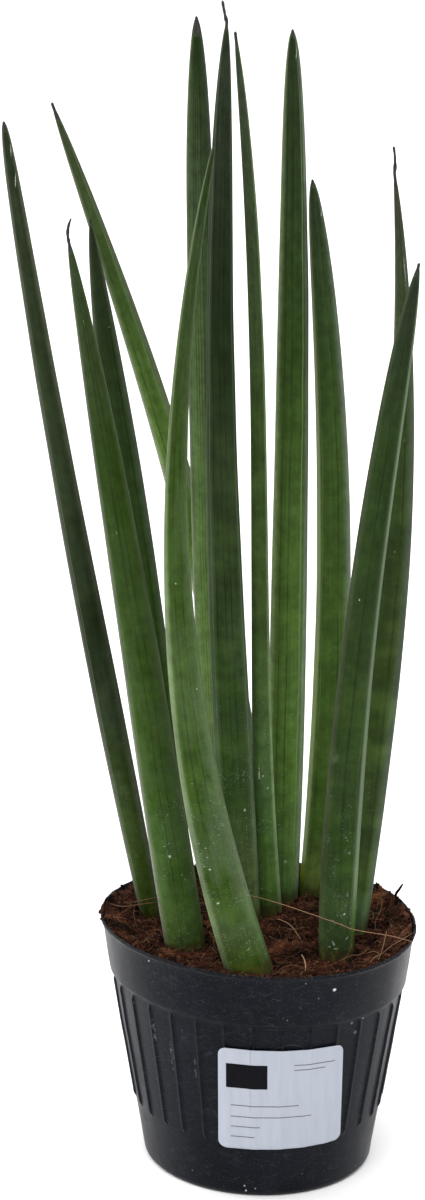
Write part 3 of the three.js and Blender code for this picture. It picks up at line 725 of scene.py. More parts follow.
def leaf_material(name, leaf, index, scars, radius):
    """A leaf's waxy surface. Each scar's height is in mm up the leaf here."""
    n = Nodes(name + "_surface")
    place = n.attribute("place")
    share, dry, _ = n.split(n.attribute("marks"))
    x, y, along = n.split(place)
    angle = n.times(n.math("ARCTAN2", x, n.times(y, -1.0)), 180 / math.pi)
    seed = index * SEED_STEP
    noises = {
        key: n.noise(place, scale, [seed if part is OWN else part for part in shift], *kind)
        for key, (scale, shift, *kind) in LEAF_NOISES.items()
    }

    # Patterns that lighten and darken the green. Bands are calmer higher up.
    calm = n.span(share, 0.4, 0.75, 1.0, 0.3)
    noises["crossing"] = n.math("MULTIPLY_ADD", n.minus(noises["crossing"], 0.5), calm, 0.5)

    def ripple(key, depth, banded):
        depth += banded * leaf["bands"]
        return n.swing(noises[key], 1 - depth, 1 + depth)

    shade = n.times(*(ripple(*row) for row in LEAF_SHADES))

    # Thin dark furrows, darkened as painted shade, and painted highlights on the channel's ridges,
    # which wander a little and fade in places.
    turned = n.plus(angle, n.span(noises["wander"], 0.2, 0.8, -5, 5, even=False))
    lines = n.most([
        n.span(n.gap(turned, float(at)), 3.4, 0.6) for at in leaf["lines"] + LINES_BEHIND
    ])
    lines = n.times(lines, n.span(noises["fading"], 0.3, 0.6, 0.25, 1.0),
                    n.span(share, 0.02, 0.22, 0.25, 1.0))
    # The furrows get painted shade here as well as the bump further down.
    shade = n.times(shade, n.minus(1.0, n.times(lines, FURROW_SHADE)))
    colour = n.shaded(n.attribute("tint"), shade)
    yellowed = n.span(noises["crossing"], 0.5, 0.72, 0.0, 0.25 * leaf["bands"])
    colour = n.mix(yellowed, colour, LEAF_TONES["band"])
    # A painted highlight along each ridge of the channel, where it catches the light.
    for at, half, strength in leaf["margins"]:
        edge = n.times(n.span(n.gap(turned, float(at)), float(half), 0.5),
                       n.span(noises["fading"], 0.2, 0.6, 0.6, 1.0), strength)
        colour = n.mix(edge, colour, LEAF_TONES["margin"])

    # A whitish bloom in soft patches, and white scurf in clusters low down.
    bloom = n.times(
        n.span(noises["haze"], 0.35, 0.65), n.swing(noises["powder"], 0.5, 1.0, True),
        n.span(share, 0.75, 0.1, 0.3, 1.0), n.span(along, 8.0, 26.0), leaf["bloom"],
    )
    colour = n.mix(bloom, colour, LEAF_TONES["bloom"])
    frayed = n.swing(noises["powder"], -0.22, 0.22)
    for scale, bare, strength in SCURF:
        gap, kept, large = n.cells(place, (scale, scale, scale * SCURF_FLAT), (seed, 0, scale))
        size = n.span(large, 0.0, 1.0, 0.08, 0.34, even=False)
        dots = n.times(
            n.span(n.minus(size, n.plus(gap, frayed)), -0.02, 0.1),
            n.math("GREATER_THAN", kept, bare), n.span(noises["cluster"], 0.44, 0.6),
            n.span(share, 0.34, 0.12), strength * leaf["scurf"],
        )
        colour = n.mix(dots, colour, LEAF_TONES["scurf"])

    ragged = n.swing(noises["torn"], *SCAR_TORN)
    for at, degrees, tall, wide, slant, kind in scars:
        tone, strength, soft = SCARS[kind]
        up = n.minus(along, at)
        side = n.plus(n.minus(angle, float(degrees)), n.times(up, float(slant)))
        side = n.times(side, math.radians(radius) / wide)
        reach = n.plus(n.reach(side, n.times(up, 1 / tall)), ragged)
        colour = n.mix(n.span(reach, SCAR_EDGE, SCAR_EDGE - soft, 0.0, strength), colour, tone)

    # Painted shade darkening the lowest 9 mm of the foot, soil dust round the foot that is dark
    # enough to be painted shade too, a pale patch round the foot, and the withered tip with a ring
    # under it.
    colour = n.shaded(colour, n.span(along, 0.0, 9.0, 0.5, 1.0))
    dust_and_shade = n.plus(n.span(along, 0.5, 5.0, 1.0, 0.0), n.swing(noises["grain"], -0.55, 0.35, True))
    colour = n.mix(n.span(dust_and_shade, 0.25, 0.9, 0.0, 0.6), colour, LEAF_TONES["dust"])
    pale = n.times(n.span(along, 3.0, 9.0, 1.0, 0.0), n.span(noises["mottle"], 0.5, 0.66, 0.0, 0.4))
    colour = n.mix(pale, colour, LEAF_TONES["foot"])
    ring = n.times(n.span(dry, 0.02, 0.3), n.span(dry, 0.75, 0.35), 0.12)
    colour = n.mix(ring, colour, LEAF_TONES["ring"])
    withered = n.span(noises["withered"], 0.35, 0.65)
    brown = n.mix(withered, LEAF_TONES["dry"], LEAF_TONES["dry_pale"])
    colour = n.mix(n.span(dry, 0.3, 0.85), colour, brown)
    rough = n.swing(noises["mottle"], 0.36, 0.46, True)
    height = n.minus(n.times(noises["fibres"], 0.6), n.times(lines, 0.8))
    n.set(Base_Color=colour, Roughness=n.plus(rough, n.times(dry, 0.25)),
          Specular_IOR_Level=GLOSS["leaf"], Normal=n.bump(height, 0.3, 0.1))
    return n.material


# ------------------------------------------------------------------ pot

# Bright specks on the pot: arc from the front and height in mm, radius, strength.
POT_SPECKS = (
    (25.5, 88.2, 0.75, 0.95), (15.5, 92.0, 0.3, 0.35), (20.1, 85.4, 0.3, 0.25),
    (10.0, 77.0, 0.3, 0.3), (39.7, 72.5, 0.35, 0.7), (34.7, 71.8, 0.7, 0.2),
    (36.9, 67.2, 0.9, 0.15), (-4.8, 4.6, 0.45, 0.75), (-4.2, 2.5, 0.5, 0.85),
    (-0.2, 3.6, 0.35, 0.6), (-36.9, 91.5, 0.45, 0.5), (-28.4, 7.0, 0.4, 0.2),
)
# Pale scuffs on the pot: arc and height in mm, half width and half height, strength.
POT_SCUFFS = (
    (-39.4, 61.0, 0.9, 8.0, 0.5), (-32.2, 54.0, 0.9, 9.0, 0.5), (-22.5, 52.0, 0.7, 6.0, 0.35),
    (-2.0, 69.0, 0.16, 6.0, 0.5), (-26.0, 66.0, 3.0, 1.2, 0.2), (45.0, 40.0, 1.6, 6.0, 0.15),
)
# The thin ring that the mould left behind the label: arc, height, radius and half width in mm.
POT_RING = (11.6, 57.9, 8.0, 0.2)
# Hairline scratches: how far each set leans, and its seed.
POT_HAIRS = ((0.25, 5.0), (-0.5, 17.0), (2.4, 29.0))
# Dust on the pot: cells a millimetre, share of the cells left bare, strength.
POT_DUST = ((0.7, 0.985, 0.35), (1.5, 0.95, 0.4), (2.8, 0.88, 0.4))
POT_TONES = dict(
    black=(0.0018, 0.0022, 0.0045), worn=(0.004, 0.0048, 0.0085), rub=(0.028, 0.03, 0.036),
    veil=(0.05, 0.052, 0.058), hair=(0.05, 0.052, 0.06), dust=(0.34, 0.35, 0.37),
    speck=(0.6, 0.6, 0.6), scuff=(0.16, 0.16, 0.17), ring=(0.05, 0.035, 0.032),
    rim=(0.006, 0.006, 0.007), crust=(0.06, 0.05, 0.042),
)
# Dents of the soft wall and nicks in its rim, as layers of noise.
POT_LUMPS = ((14.0, 21, 0.18), (4.0, 22, 0.05))
RIM_NICKS = ((2.2, 23, 0.16), (0.9, 24, 0.1))
# Millimetres of arc for each radian on the pot's materials.
ARC = 50
# A rib's section: places across it as shares of its half width, and the plain steps between.
RIB_PLACES, RIB_GAPS = (-1, -0.7, -0.45, -0.22, 0, 0.22, 0.45, 0.7, 1), 6
# Radius of the profile's soft corners, and its longest row, in mm.
CORNER, LONGEST_ROW = 0.8, 4.0


def rounded_profile(rows, radius, steps=4):
    """Rows of [radius, z, ribs] with each inner corner turned on a short curve."""
    rows = np.asarray(rows, float)
    found = [rows[0]]
    for before, here, after in zip(rows, rows[1:], rows[2:]):
        reach_in = np.linalg.norm((here - before)[:2])
        reach_out = np.linalg.norm((after - here)[:2])
        cut_in = min(radius, reach_in * 0.45) / reach_in
        cut_out = min(radius, reach_out * 0.45) / reach_out
        a, b = here + (before - here) * cut_in, here + (after - here) * cut_out
        for step in range(steps + 1):
            s = step / steps
            found.append((1 - s) ** 2 * a + 2 * (1 - s) * s * here + s * s * b)
    found.append(rows[-1])
    return np.array(found)


def split_rows(rows, longest):
    """The same profile with its long stretches divided."""
    found = [rows[0]]
    for a, b in zip(rows, rows[1:]):
        pieces = max(1, int(math.ceil(np.linalg.norm((b - a)[:2]) / longest)))
        found += [a + (b - a) * step / pieces for step in range(1, pieces + 1)]
    return np.array(found)


def make_pot():
    """The pot's shell as one skin, with its drain holes cut."""
    high, rim = POT["height"], POT["rim"]
    hub = 30.0    # the flat discs of the floor start inside this radius
    low, top, fade = RIBS["low"], RIBS["high"], RIBS["fade"]
    # Radius, height and share of the ribs: up the outside, over the rim and down the inside.
    outside = rounded_profile([
        [hub, 0, 0],
        [POT["base"] - 1.2, 0, 0],
        [wall_radius(1.6), 1.6, 0],
        [wall_radius(low), low, 0],
        [wall_radius(low + fade), low + fade, 1],
        [wall_radius(top - fade), top - fade, 1],
        [wall_radius(top), top, 0],
        [wall_radius(POT["collar_low"]) + 0.2, POT["collar_low"] - 0.7, 0],
        [collar_radius(POT["collar_low"] + 0.4), POT["collar_low"] + 0.4, 0],
        [rim - 1.0, high - POT["lip"] - 0.4, 0],
        [rim, high - 1.2, 0],
        [rim - 0.1, high, 0],
        [rim - POT["wall"], high - 0.1, 0],
        [inner_radius(POT["step_high"]), POT["step_high"], 0],
        [inner_radius(POT["step_low"]), POT["step_low"], 0],
        [inner_radius(POT["floor"]) - 0.4, POT["floor"], 0],
        [hub, POT["floor"], 0],
    ], CORNER)
    outside = split_rows(outside, LONGEST_ROW)
    pitch = TAU / RIBS["count"]
    ridge = np.array(RIB_PLACES) * RIBS["half"] / wall_radius(top)
    plain = np.linspace(ridge[-1], pitch - ridge[-1], RIB_GAPS + 2)[1:-1]
    offsets = np.concatenate([ridge, plain])
    crown = 0.5 + 0.5 * np.cos(np.linspace(-1, 1, len(ridge)) * math.pi)
    ribs = np.arange(RIBS["count"])[:, None] * pitch
    angles = (math.radians(RIBS["turn"]) + ribs + offsets).ravel()
    proud = np.tile(np.concatenate([crown, 0 * plain]), RIBS["count"]) * RIBS["proud"]
    radius = outside[:, 0:1] + proud[None, :] * outside[:, 2:3]
    points = polar(radius, angles[None, :], outside[:, 1:2])
    near_rim = smooth(high - 3, high, points[..., 2])
    lump = layered(points, POT_LUMPS) + near_rim * layered(points, RIM_NICKS)
    lump *= smooth(1.5, 8.0, points[..., 2])    # the foot stays flat and round
    reach = np.maximum(np.hypot(points[..., 0], points[..., 1]), 1)
    points[..., :2] *= (1 + lump / reach)[..., None]
    points[..., 2] += near_rim * 0.12 * lattice_noise(points / 1.8, 25)
    arc = ((angles + math.pi) % TAU - math.pi) * ARC
    wear = np.stack([np.broadcast_to(arc, radius.shape), points[..., 2], near_rim], axis=-1)
    build = Build()
    build.skin(settle(points), (0, 0, 0), (0, 0, POT["floor"]), wear=wear)
    pot = build.finish("pot_shell", pot_material(), ["pot"])
    cutters = Build()
    for drain in range(DRAINS["count"]):
        angle = (drain + 0.5) * TAU / DRAINS["count"]
        path = [polar(DRAINS["circle"], angle, z) for z in (-4.0, 0.0, 6.0)]
        tube(cutters, path, DRAINS["radius"], sides=32)
    cutter = cutters.finish("drain_cutter", pot.data.materials[0])
    cut = pot.modifiers.new("drains", "BOOLEAN")
    cut.operation = "DIFFERENCE"
    cut.solver = "MANIFOLD"
    cut.object = cutter
    with bpy.context.temp_override(object=pot, active_object=pot):
        bpy.ops.object.modifier_apply(modifier=cut.name)
    bpy.data.objects.remove(cutter)


def pot_material():
    n = Nodes("black_plastic")
    wear = n.attribute("wear")
    arc, height, rim = n.split(wear)
    spot = n.new("ShaderNodeTexCoord").outputs["Object"]
    wide = n.noise(spot, (45, 45, 30), detail=4.0)
    small = n.noise(spot, (900, 900, 700), detail=4.0, rough=0.65)
    colour = n.mix(n.span(wide, 0.35, 0.7), POT_TONES["black"], POT_TONES["worn"])

    # Rubbing that runs round the pot, a veil of dust in soft patches, and hairline scratches.
    rub = n.noise(wear, (0.12, 1.6, 1.0), detail=5.0, rough=0.7)
    rub = n.times(n.span(rub, 0.6, 0.78), n.span(wide, 0.42, 0.6, 0.1, 0.6))
    colour = n.mix(rub, colour, POT_TONES["rub"])
    veil = n.noise(wear, (0.09, 0.09, 1.0), (3, 0, 0), 5.0, 0.75)
    veil = n.times(n.span(veil, 0.5, 0.75), n.span(small, 0.35, 0.65, 0.2, 1.0))
    colour = n.mix(n.times(veil, 0.3), colour, POT_TONES["veil"])
    for lean, seed in POT_HAIRS:
        slanted = n.fed("ShaderNodeCombineXYZ", {
            0: n.minus(arc, n.times(height, lean)), 1: n.plus(height, n.times(arc, lean)),
            2: seed,
        })
        hair = n.noise(slanted, (0.11, 2.6, 1.0), detail=2.0, rough=0.5)
        hair = n.times(n.span(hair, 0.62, 0.7), n.span(small, 0.4, 0.6, 0.2, 1.0), 0.5)
        colour = n.mix(hair, colour, POT_TONES["hair"])

    # Specks of dust, more of them towards the rim and the foot.
    bare = n.span(n.gap(height, 45.0), 10.0, 48.0, 0.35, 1.0)
    for scale, left_bare, strength in POT_DUST:
        gap, kept, large = n.cells(spot, (scale / MM,) * 3, (0, 0, scale))
        size = n.span(large, 0.0, 1.0, 0.06, 0.24, even=False)
        dust = n.times(n.math("LESS_THAN", gap, size), n.math("GREATER_THAN", kept, left_bare),
                       bare, strength)
        colour = n.mix(dust, colour, POT_TONES["dust"])

    def distance(at, up, half_width=1.0, half_height=1.0):
        return n.reach(n.times(n.minus(arc, at), 1 / half_width),
                       n.times(n.minus(height, up), 1 / half_height))

    for at, up, radius, strength in POT_SPECKS:
        speck = n.span(distance(at, up, radius, radius), 1.0, 0.5, 0.0, strength)
        colour = n.mix(speck, colour, POT_TONES["speck"])
    for *oval, strength in POT_SCUFFS:
        scuff = n.times(n.span(distance(*oval), 1.0, 0.4), n.span(small, 0.48, 0.62), strength)
        colour = n.mix(scuff, colour, POT_TONES["scuff"])
    at, up, radius, half = POT_RING
    ring = n.span(n.gap(distance(at, up), radius), half, 0.05, 0.0, 0.7)
    colour = n.mix(ring, colour, POT_TONES["ring"])
    colour = n.mix(n.times(rim, 0.5), colour, POT_TONES["rim"])
    crust = n.times(rim, n.span(small, 0.55, 0.68), 0.6)
    colour = n.mix(crust, colour, POT_TONES["crust"])
    rough = n.plus(n.swing(wide, 0.33, 0.42, True), n.times(veil, 0.2))
    relief = n.plus(n.times(small, 0.6), n.times(wide, 1.4))
    n.set(Base_Color=colour, Roughness=n.plus(rough, n.times(rim, 0.2)),
          Specular_IOR_Level=GLOSS["pot"], Specular_Tint=(0.88, 0.93, 1.0),
          Normal=n.bump(relief, 0.3, 0.25))
    return n.material


# ------------------------------------------------------------------ label

# Faces across the flat of the label, round each of its corners, and up it.
LABEL_COLUMNS, LABEL_CORNER, LABEL_ROWS = 120, 8, 60
# How far the sheet sags between two ribs, and how much it creases, in mm.
LABEL_SAG, LABEL_CREASE = 0.2, 0.05
# Size of the creases across and up in mm, and their seed.
CREASE_SIZE, CREASE_SEED = (3, 9), 31


def make_label():
    """The label as a thin closed sheet on the ribs, with round corners."""
    half, corner = LABEL["width"] / 2, LABEL["corner"]
    bends = half - corner + corner * np.sin(np.linspace(0, math.pi / 2, LABEL_CORNER + 1))
    flat = np.linspace(-(half - corner), half - corner, LABEL_COLUMNS)
    offsets = np.concatenate([-bends[:0:-1], flat, bends[1:]])
    into = np.maximum(0, np.abs(offsets) - (half - corner))
    cut = corner - np.sqrt(np.maximum(0, corner ** 2 - into ** 2))
    lean = offsets * LABEL["tilt"]
    low = LABEL["low"] + cut + lean
    high = low + LABEL["high"] - LABEL["low"] - 2 * cut
    z = low + (high - low) * np.linspace(0, 1, LABEL_ROWS)[:, None]
    arc = LABEL["aside"] + offsets + 0 * z
    turned = (arc / wall_radius(z) - math.radians(RIBS["turn"])) / (TAU / RIBS["count"])
    from_rib = np.abs((turned + 0.5) % 1 - 0.5)
    sag = LABEL_SAG * smooth(0.06, 0.3, from_rib) * smooth(12.0, 24.0, z)
    creased = np.stack([arc / CREASE_SIZE[0], z / CREASE_SIZE[1], 0 * z], axis=-1)
    crease = LABEL_CREASE * lattice_noise(creased, CREASE_SEED)
    faces = []
    for lift in (LABEL["back"], LABEL["back"] + LABEL["thick"]):
        radius = wall_radius(z) + lift - sag + crease
        faces.append(settle(polar(radius, arc / radius, z)))
    under, over = faces
    at = np.arange(z.size).reshape(z.shape)
    top = np.stack([at[:-1, :-1], at[:-1, 1:], at[1:, 1:], at[1:, :-1]], -1).reshape(-1, 4)
    back = top[:, ::-1] + z.size
    loop = np.concatenate([at[0], at[1:, -1], at[-1, -2::-1], at[-2:0:-1, 0]])
    after = np.roll(loop, -1)
    edge = np.stack([after, loop, loop + z.size, after + z.size], -1)
    spot = np.stack([offsets + 0 * z, z - LABEL["low"] - lean, 0 * z], axis=-1).reshape(-1, 3)
    build = Build()
    build.add(
        np.concatenate([over.reshape(-1, 3), under.reshape(-1, 3)]),
        np.concatenate([top, back, edge]), print=np.concatenate([spot, spot]),
    )
    build.finish("label_sheet", label_material(), ["label"])


# What is printed on the label: a plain block and ruled lines, as left, right, low and high in
# mm from the middle of its width and from its lower edge.
BLOCK = (-21.1, -5.8, 26.0, 36.2)
RULES = (
    (4.2, 20.6, 35.9, 36.3), (4.2, 16.5, 33.8, 34.2), (-19.3, 6.0, 18.4, 18.8),
    (-19.3, 11.0, 13.6, 14.0), (-19.3, -8.5, 9.3, 9.7), (-19.3, -10.5, 5.0, 5.4),
)
# Half the soft edge of a printed mark, in mm.
BLEED = 0.06
# An upright fold in the paper, drawn as a dark line of painted shade: its place across the
# sheet, and where it starts going up.
FOLD_AT, FOLD_FROM = -12.1, (13.0, 20.0)
# The bright tone is painted light on the paper's pleats, and the fold tone is painted shade in a
# fold.
LABEL_TONES = dict(
    paper=(0.40, 0.43, 0.49), pleat_light=(0.425, 0.455, 0.52), dirt=(0.33, 0.35, 0.4),
    fold_shade=(0.16, 0.17, 0.2), block=(0.003, 0.003, 0.005), rule=(0.03, 0.03, 0.04),
)


def label_material():
    n = Nodes("label_print")
    spot = n.attribute("print")
    x, y, _ = n.split(spot)

    def patch(left, right, low, high):
        return n.times(
            n.span(x, left - BLEED, left + BLEED), n.span(x, right + BLEED, right - BLEED),
            n.span(y, low - BLEED, low + BLEED), n.span(y, high + BLEED, high - BLEED),
        )

    grain = n.noise(spot, (2.0, 2.0, 1.0), detail=4.0)
    # Soft upright bands of painted light and shade where the paper pleats over the ribs.
    pleat_shading = n.noise(spot, (0.35, 0.03, 1.0))
    paper = n.mix(n.span(pleat_shading, 0.35, 0.65), LABEL_TONES["paper"], LABEL_TONES["pleat_light"])
    paper = n.mix(n.span(grain, 0.62, 0.75, 0.0, 0.2), paper, LABEL_TONES["dirt"])
    # The fold is a dark line of painted shade.
    fold_shade = n.times(n.span(n.gap(x, FOLD_AT), 0.34, 0.1), n.span(y, *FOLD_FROM), 0.3)
    paper = n.mix(fold_shade, paper, LABEL_TONES["fold_shade"])
    block = n.times(patch(*BLOCK), n.span(grain, 0.2, 0.4, 0.85, 1.0))
    colour = n.mix(block, paper, LABEL_TONES["block"])
    rules = n.times(n.most([patch(*rule) for rule in RULES]), 0.8)
    n.set(Base_Color=n.mix(rules, colour, LABEL_TONES["rule"]),
          Roughness=n.swing(grain, 0.42, 0.55, True), Specular_IOR_Level=GLOSS["paper"],
          Normal=n.bump(grain, 0.15, 0.1))
    return n.material


# ------------------------------------------------------------------ soil

SOIL_RADIUS = inner_radius(SOIL["level"])
# Lumps of the soil, and noise that makes its dips and its heap at the rim uneven.
SOIL_LUMPS = ((6.5, 41, 0.8), (2.6, 42, 0.6), (1.3, 43, 0.4), (0.7, 44, 0.2))
DIP_NOISE, HEAP_NOISE = ((3.0, 48, 0.5),), ((4.0, 47, 0.5),)
# The heap at the rim: how high, and which way from the front it is highest.
HEAP, HEAP_FACING = 1.5, math.radians(140)
# Faces round the soil and rows across its top, and where its side ends below the heap.
SOIL_COLUMNS, SOIL_ROWS, SOIL_SIDE = 420, 110, 90.0
# Noise that makes the surface lighter and darker round its middle tone.
SOIL_TONE, SOIL_TONES = 0.35, ((3.0, 45, 0.3), (1.1, 46, 0.2))


def soil_height(x, y):
    """The soil's surface as in the CAD."""
    out = np.hypot(x, y) / SOIL_RADIUS
    lumps = np.sin(x * 0.31 + 1.2) * np.cos(y * 0.27 - 0.4)
    lumps = lumps + 0.6 * np.sin(x * 0.63 - y * 0.52 + 2)
    return SOIL["level"] + SOIL["edge_rise"] * out ** 6 + SOIL["lump"] * lumps


def leaf_feet():
    """Where each leaf enters the soil of the upright pot: x, y, half width and the soil's dip."""
    drift = SAG["drift"] * SOIL["level"] / POT["height"]
    return [
        (leaf["path"][0][0] - drift, leaf["path"][0][1], leaf["widths"][0] / 2,
         leaf.get("dip", DIP))
        for leaf in LEAVES.values()
    ]


def soil_relief(x, y):
    """Crumbs and lumps finer than the CAD's, a dip round each leaf, and the climb to the rim."""
    flat = np.stack([x, y, 0 * x], axis=-1)
    out = np.hypot(x, y) / SOIL_RADIUS
    relief = layered(flat, SOIL_LUMPS) * (1 - 0.5 * smooth(0.9, 1.0, out))
    uneven = 0.9 + layered(flat, DIP_NOISE)
    for foot_x, foot_y, half, dip in leaf_feet():
        gap = np.hypot(x - foot_x, y - foot_y) - half
        relief -= dip * uneven * smooth(4.5, 0.4, gap)
    heaped = 0.55 + 0.45 * np.cos(np.arctan2(x, -y) - HEAP_FACING)
    return relief + HEAP * heaped * smooth(0.86, 0.99, out) * (1 + layered(flat, HEAP_NOISE))


def soil_top(x, y):
    return soil_height(x, y) + soil_relief(x, y)


def make_soil():
    """The filled soil with its crumbs, clods and fibres, as one piece."""
    angles = np.arange(SOIL_COLUMNS) * TAU / SOIL_COLUMNS
    play = SOIL["hollow"] + SOIL["clearance"]
    bottom = POT["floor"] + 0.3
    rings = [
        polar(inner_radius(z) - play, angles, z)
        for z in (bottom, POT["step_low"], POT["step_high"], SOIL_SIDE)
    ]
    brim = inner_radius(SOIL["level"] + SOIL["edge_rise"]) - SOIL["hollow"]
    for share in np.linspace(1, 0.004, SOIL_ROWS):
        ring = polar(brim * share, angles, 0.0)
        ring[:, 2] = soil_top(ring[:, 0], ring[:, 1])
        rings.append(ring)
    rings = np.array(rings)
    relief = rings[..., 2] - soil_height(rings[..., 0], rings[..., 1])
    rings = settle(rings)
    tone = np.zeros(rings.shape)
    tone[..., 0] = SOIL_TONE + layered(rings, SOIL_TONES)
    # The relief is kept in the tone: the soil is painted darker in its dips and round the leaves'
    # feet as painted shade, and lighter where it rises as painted light.
    tone[..., 2] = np.clip(relief, -2, 1.5)
    build = Build()
    top = settle(np.array([0, 0, soil_height(0.0, 0.0)]))
    build.skin(rings, (0, 0, bottom), top, tone=tone)
    add_crumbs(build)
    add_clods(build)
    add_fibres(build)
    build.finish("soil_coir", soil_material(), ["soil"])


def clear_of_leaves(points, play):
    """Whether each point near the soil keeps clear of every leaf's foot."""
    free = np.ones(len(points), bool)
    for leaf in LEAVES.values():
        rise = points[:, 2].mean() - SOIL["level"]
        share = np.clip(rise / (leaf["height"] - SOIL["level"]), 0, 1)
        centre = leaf_centres(leaf, [share])[0][0]
        reach = leaf_widths(leaf, [share])[0] / 2 + play
        free &= np.hypot(points[:, 0] - centre[0], points[:, 1] - centre[1]) > reach
    return free


# A crumb is an icosahedron with each corner pulled in or out.
CRUMB = np.array([
    [0, 0, 1], [0.89, 0, 0.45], [0.28, 0.85, 0.45], [-0.72, 0.53, 0.45], [-0.72, -0.53, 0.45],
    [0.28, -0.85, 0.45], [0.72, 0.53, -0.45], [-0.28, 0.85, -0.45], [-0.89, 0, -0.45],
    [-0.28, -0.85, -0.45], [0.72, -0.53, -0.45], [0, 0, -1],
])
CRUMB_FACES = [
    [0, 1, 2], [0, 2, 3], [0, 3, 4], [0, 4, 5], [0, 5, 1], [1, 6, 2], [2, 7, 3], [3, 8, 4],
    [4, 9, 5], [5, 10, 1], [6, 7, 2], [7, 8, 3], [8, 9, 4], [9, 10, 5], [10, 6, 1],
    [11, 7, 6], [11, 8, 7], [11, 9, 8], [11, 10, 9], [11, 6, 10],
]


def add_crumb(build, draw, middle, size, tone):
    shape = CRUMB * draw.uniform(0.6, 1.3, (len(CRUMB), 1)) * draw.uniform(0.6, 1.2, 3) * size
    build.add(shape + middle, triangles=CRUMB_FACES, tone=(tone, 0, 0.3))


# Where soil lies heaped on the rim: from and to, in degrees from the front, how many crumbs,
# and how high they pile in mm.
HEAPS = (
    (-116, -70, 60, 0.7), (-66, -34, 60, 0.5), (30, 80, 120, 0.8), (126, 168, 170, 1.5),
    (98, 126, 14, 0.2), (-170, -120, 90, 0.8), (80, 96, 12, 0.25), (-34, 30, 40, 0.2),
)
CRUMBS, CRUMBS_AT_FOOT, FIBRES = 1900, 26, 1700
# Size in mm and tone of crumbs on the surface, at a leaf's foot, on the rim and in a clod, from
# and to. In a clod the size is a share of the clod's.
CRUMB_SIZES = dict(surface=(0.3, 0.95), foot=(0.3, 0.8), rim=(0.25, 0.7), clod=(0.6, 1.1))
CRUMB_SHADES = dict(surface=(0.1, 0.8), foot=(0.1, 0.9), rim=(0.05, 0.75), clod=(0.1, 0.5))
# Length and radius of the short fibres and of the long ones, from and to, in mm.
SHORT_FIBRE, LONG_FIBRE, LONG_EVERY = ((3, 10), (0.06, 0.14)), ((12, 26), (0.12, 0.22)), 9
# How far a fibre bends in radians, how high it arches (spread and least), how much it ripples
# and how deep its ends dip, in mm.
FIBRE_BEND, FIBRE_ARCH, FIBRE_RIPPLE, FIBRE_DIP = 2.2, (0.9, 0.25), 0.25, 0.15
# Where the rim's top is, from its inner to its outer edge.
RIM_INSIDE, RIM_ACROSS = 56.6, 2.9


def on_soil(x, y, lift):
    """A point above the soil of the settled pot."""
    return settle(np.array([x, y, float(soil_top(np.array(x), np.array(y))) + lift]))


def add_crumbs(build):
    draw = np.random.RandomState(51)
    reach = SOIL_RADIUS - 1.5
    for _ in range(CRUMBS):
        radius, angle = reach * math.sqrt(draw.uniform()), draw.uniform(0, TAU)
        middle = on_soil(radius * math.sin(angle), -radius * math.cos(angle), 0.1)
        size = draw.uniform(*CRUMB_SIZES["surface"])
        tone = draw.uniform(*CRUMB_SHADES["surface"])
        if clear_of_leaves(middle[None], 0.5)[0]:
            add_crumb(build, draw, middle, size, tone)
    for foot_x, foot_y, half, _ in leaf_feet():
        for _ in range(CRUMBS_AT_FOOT):
            angle, gap = draw.uniform(0, TAU), draw.uniform(0.3, 2.6)
            x = foot_x + (half + gap) * math.sin(angle)
            y = foot_y - (half + gap) * math.cos(angle)
            size = draw.uniform(*CRUMB_SIZES["foot"])
            lift = draw.uniform(0, 0.5) * (1 - gap / 3)
            if math.hypot(x, y) < reach:
                tone = draw.uniform(*CRUMB_SHADES["foot"])
                add_crumb(build, draw, on_soil(x, y, lift), size, tone)
    for start, end, count, pile in HEAPS:
        for _ in range(count):
            angle = math.radians(draw.uniform(start, end))
            over = draw.uniform()
            size = draw.uniform(*CRUMB_SIZES["rim"])
            radius = RIM_INSIDE + RIM_ACROSS * over - size * 0.3
            inside = radius < POT["rim"] - POT["wall"] - 0.4
            base = POT["height"] + (draw.uniform(-0.9, 0.2) if inside else size * 0.45)
            lift = pile * draw.uniform() ** 2 * (1 - over * 0.7)
            middle = settle(polar(radius, angle, base + lift))
            add_crumb(build, draw, middle, size, draw.uniform(*CRUMB_SHADES["rim"]))


# Clods stuck to the rim and the collar: where each lies, how many crumbs, and their size; and
# how far the crumbs scatter, as a share of that size.
CLODS = (
    ((-61.6, -3.0, 96.0), 9, 0.8), ((-61.0, 3.0, 95.9), 6, 0.6), ((-60.9, -10.0, 95.6), 6, 0.55),
    ((-48.6, -29.4, 92.4), 3, 0.6), ((-46.6, -31.8, 92.6), 2, 0.4),
)
CLOD_SPREAD = 0.45


def add_clods(build):
    draw = np.random.RandomState(71)
    for middle, count, size in CLODS:
        for _ in range(count):
            spot = np.array(middle) + draw.normal(0, CLOD_SPREAD, 3) * size
            own_size = size * draw.uniform(*CRUMB_SIZES["clod"])
            add_crumb(build, draw, spot, own_size, draw.uniform(*CRUMB_SHADES["clod"]))


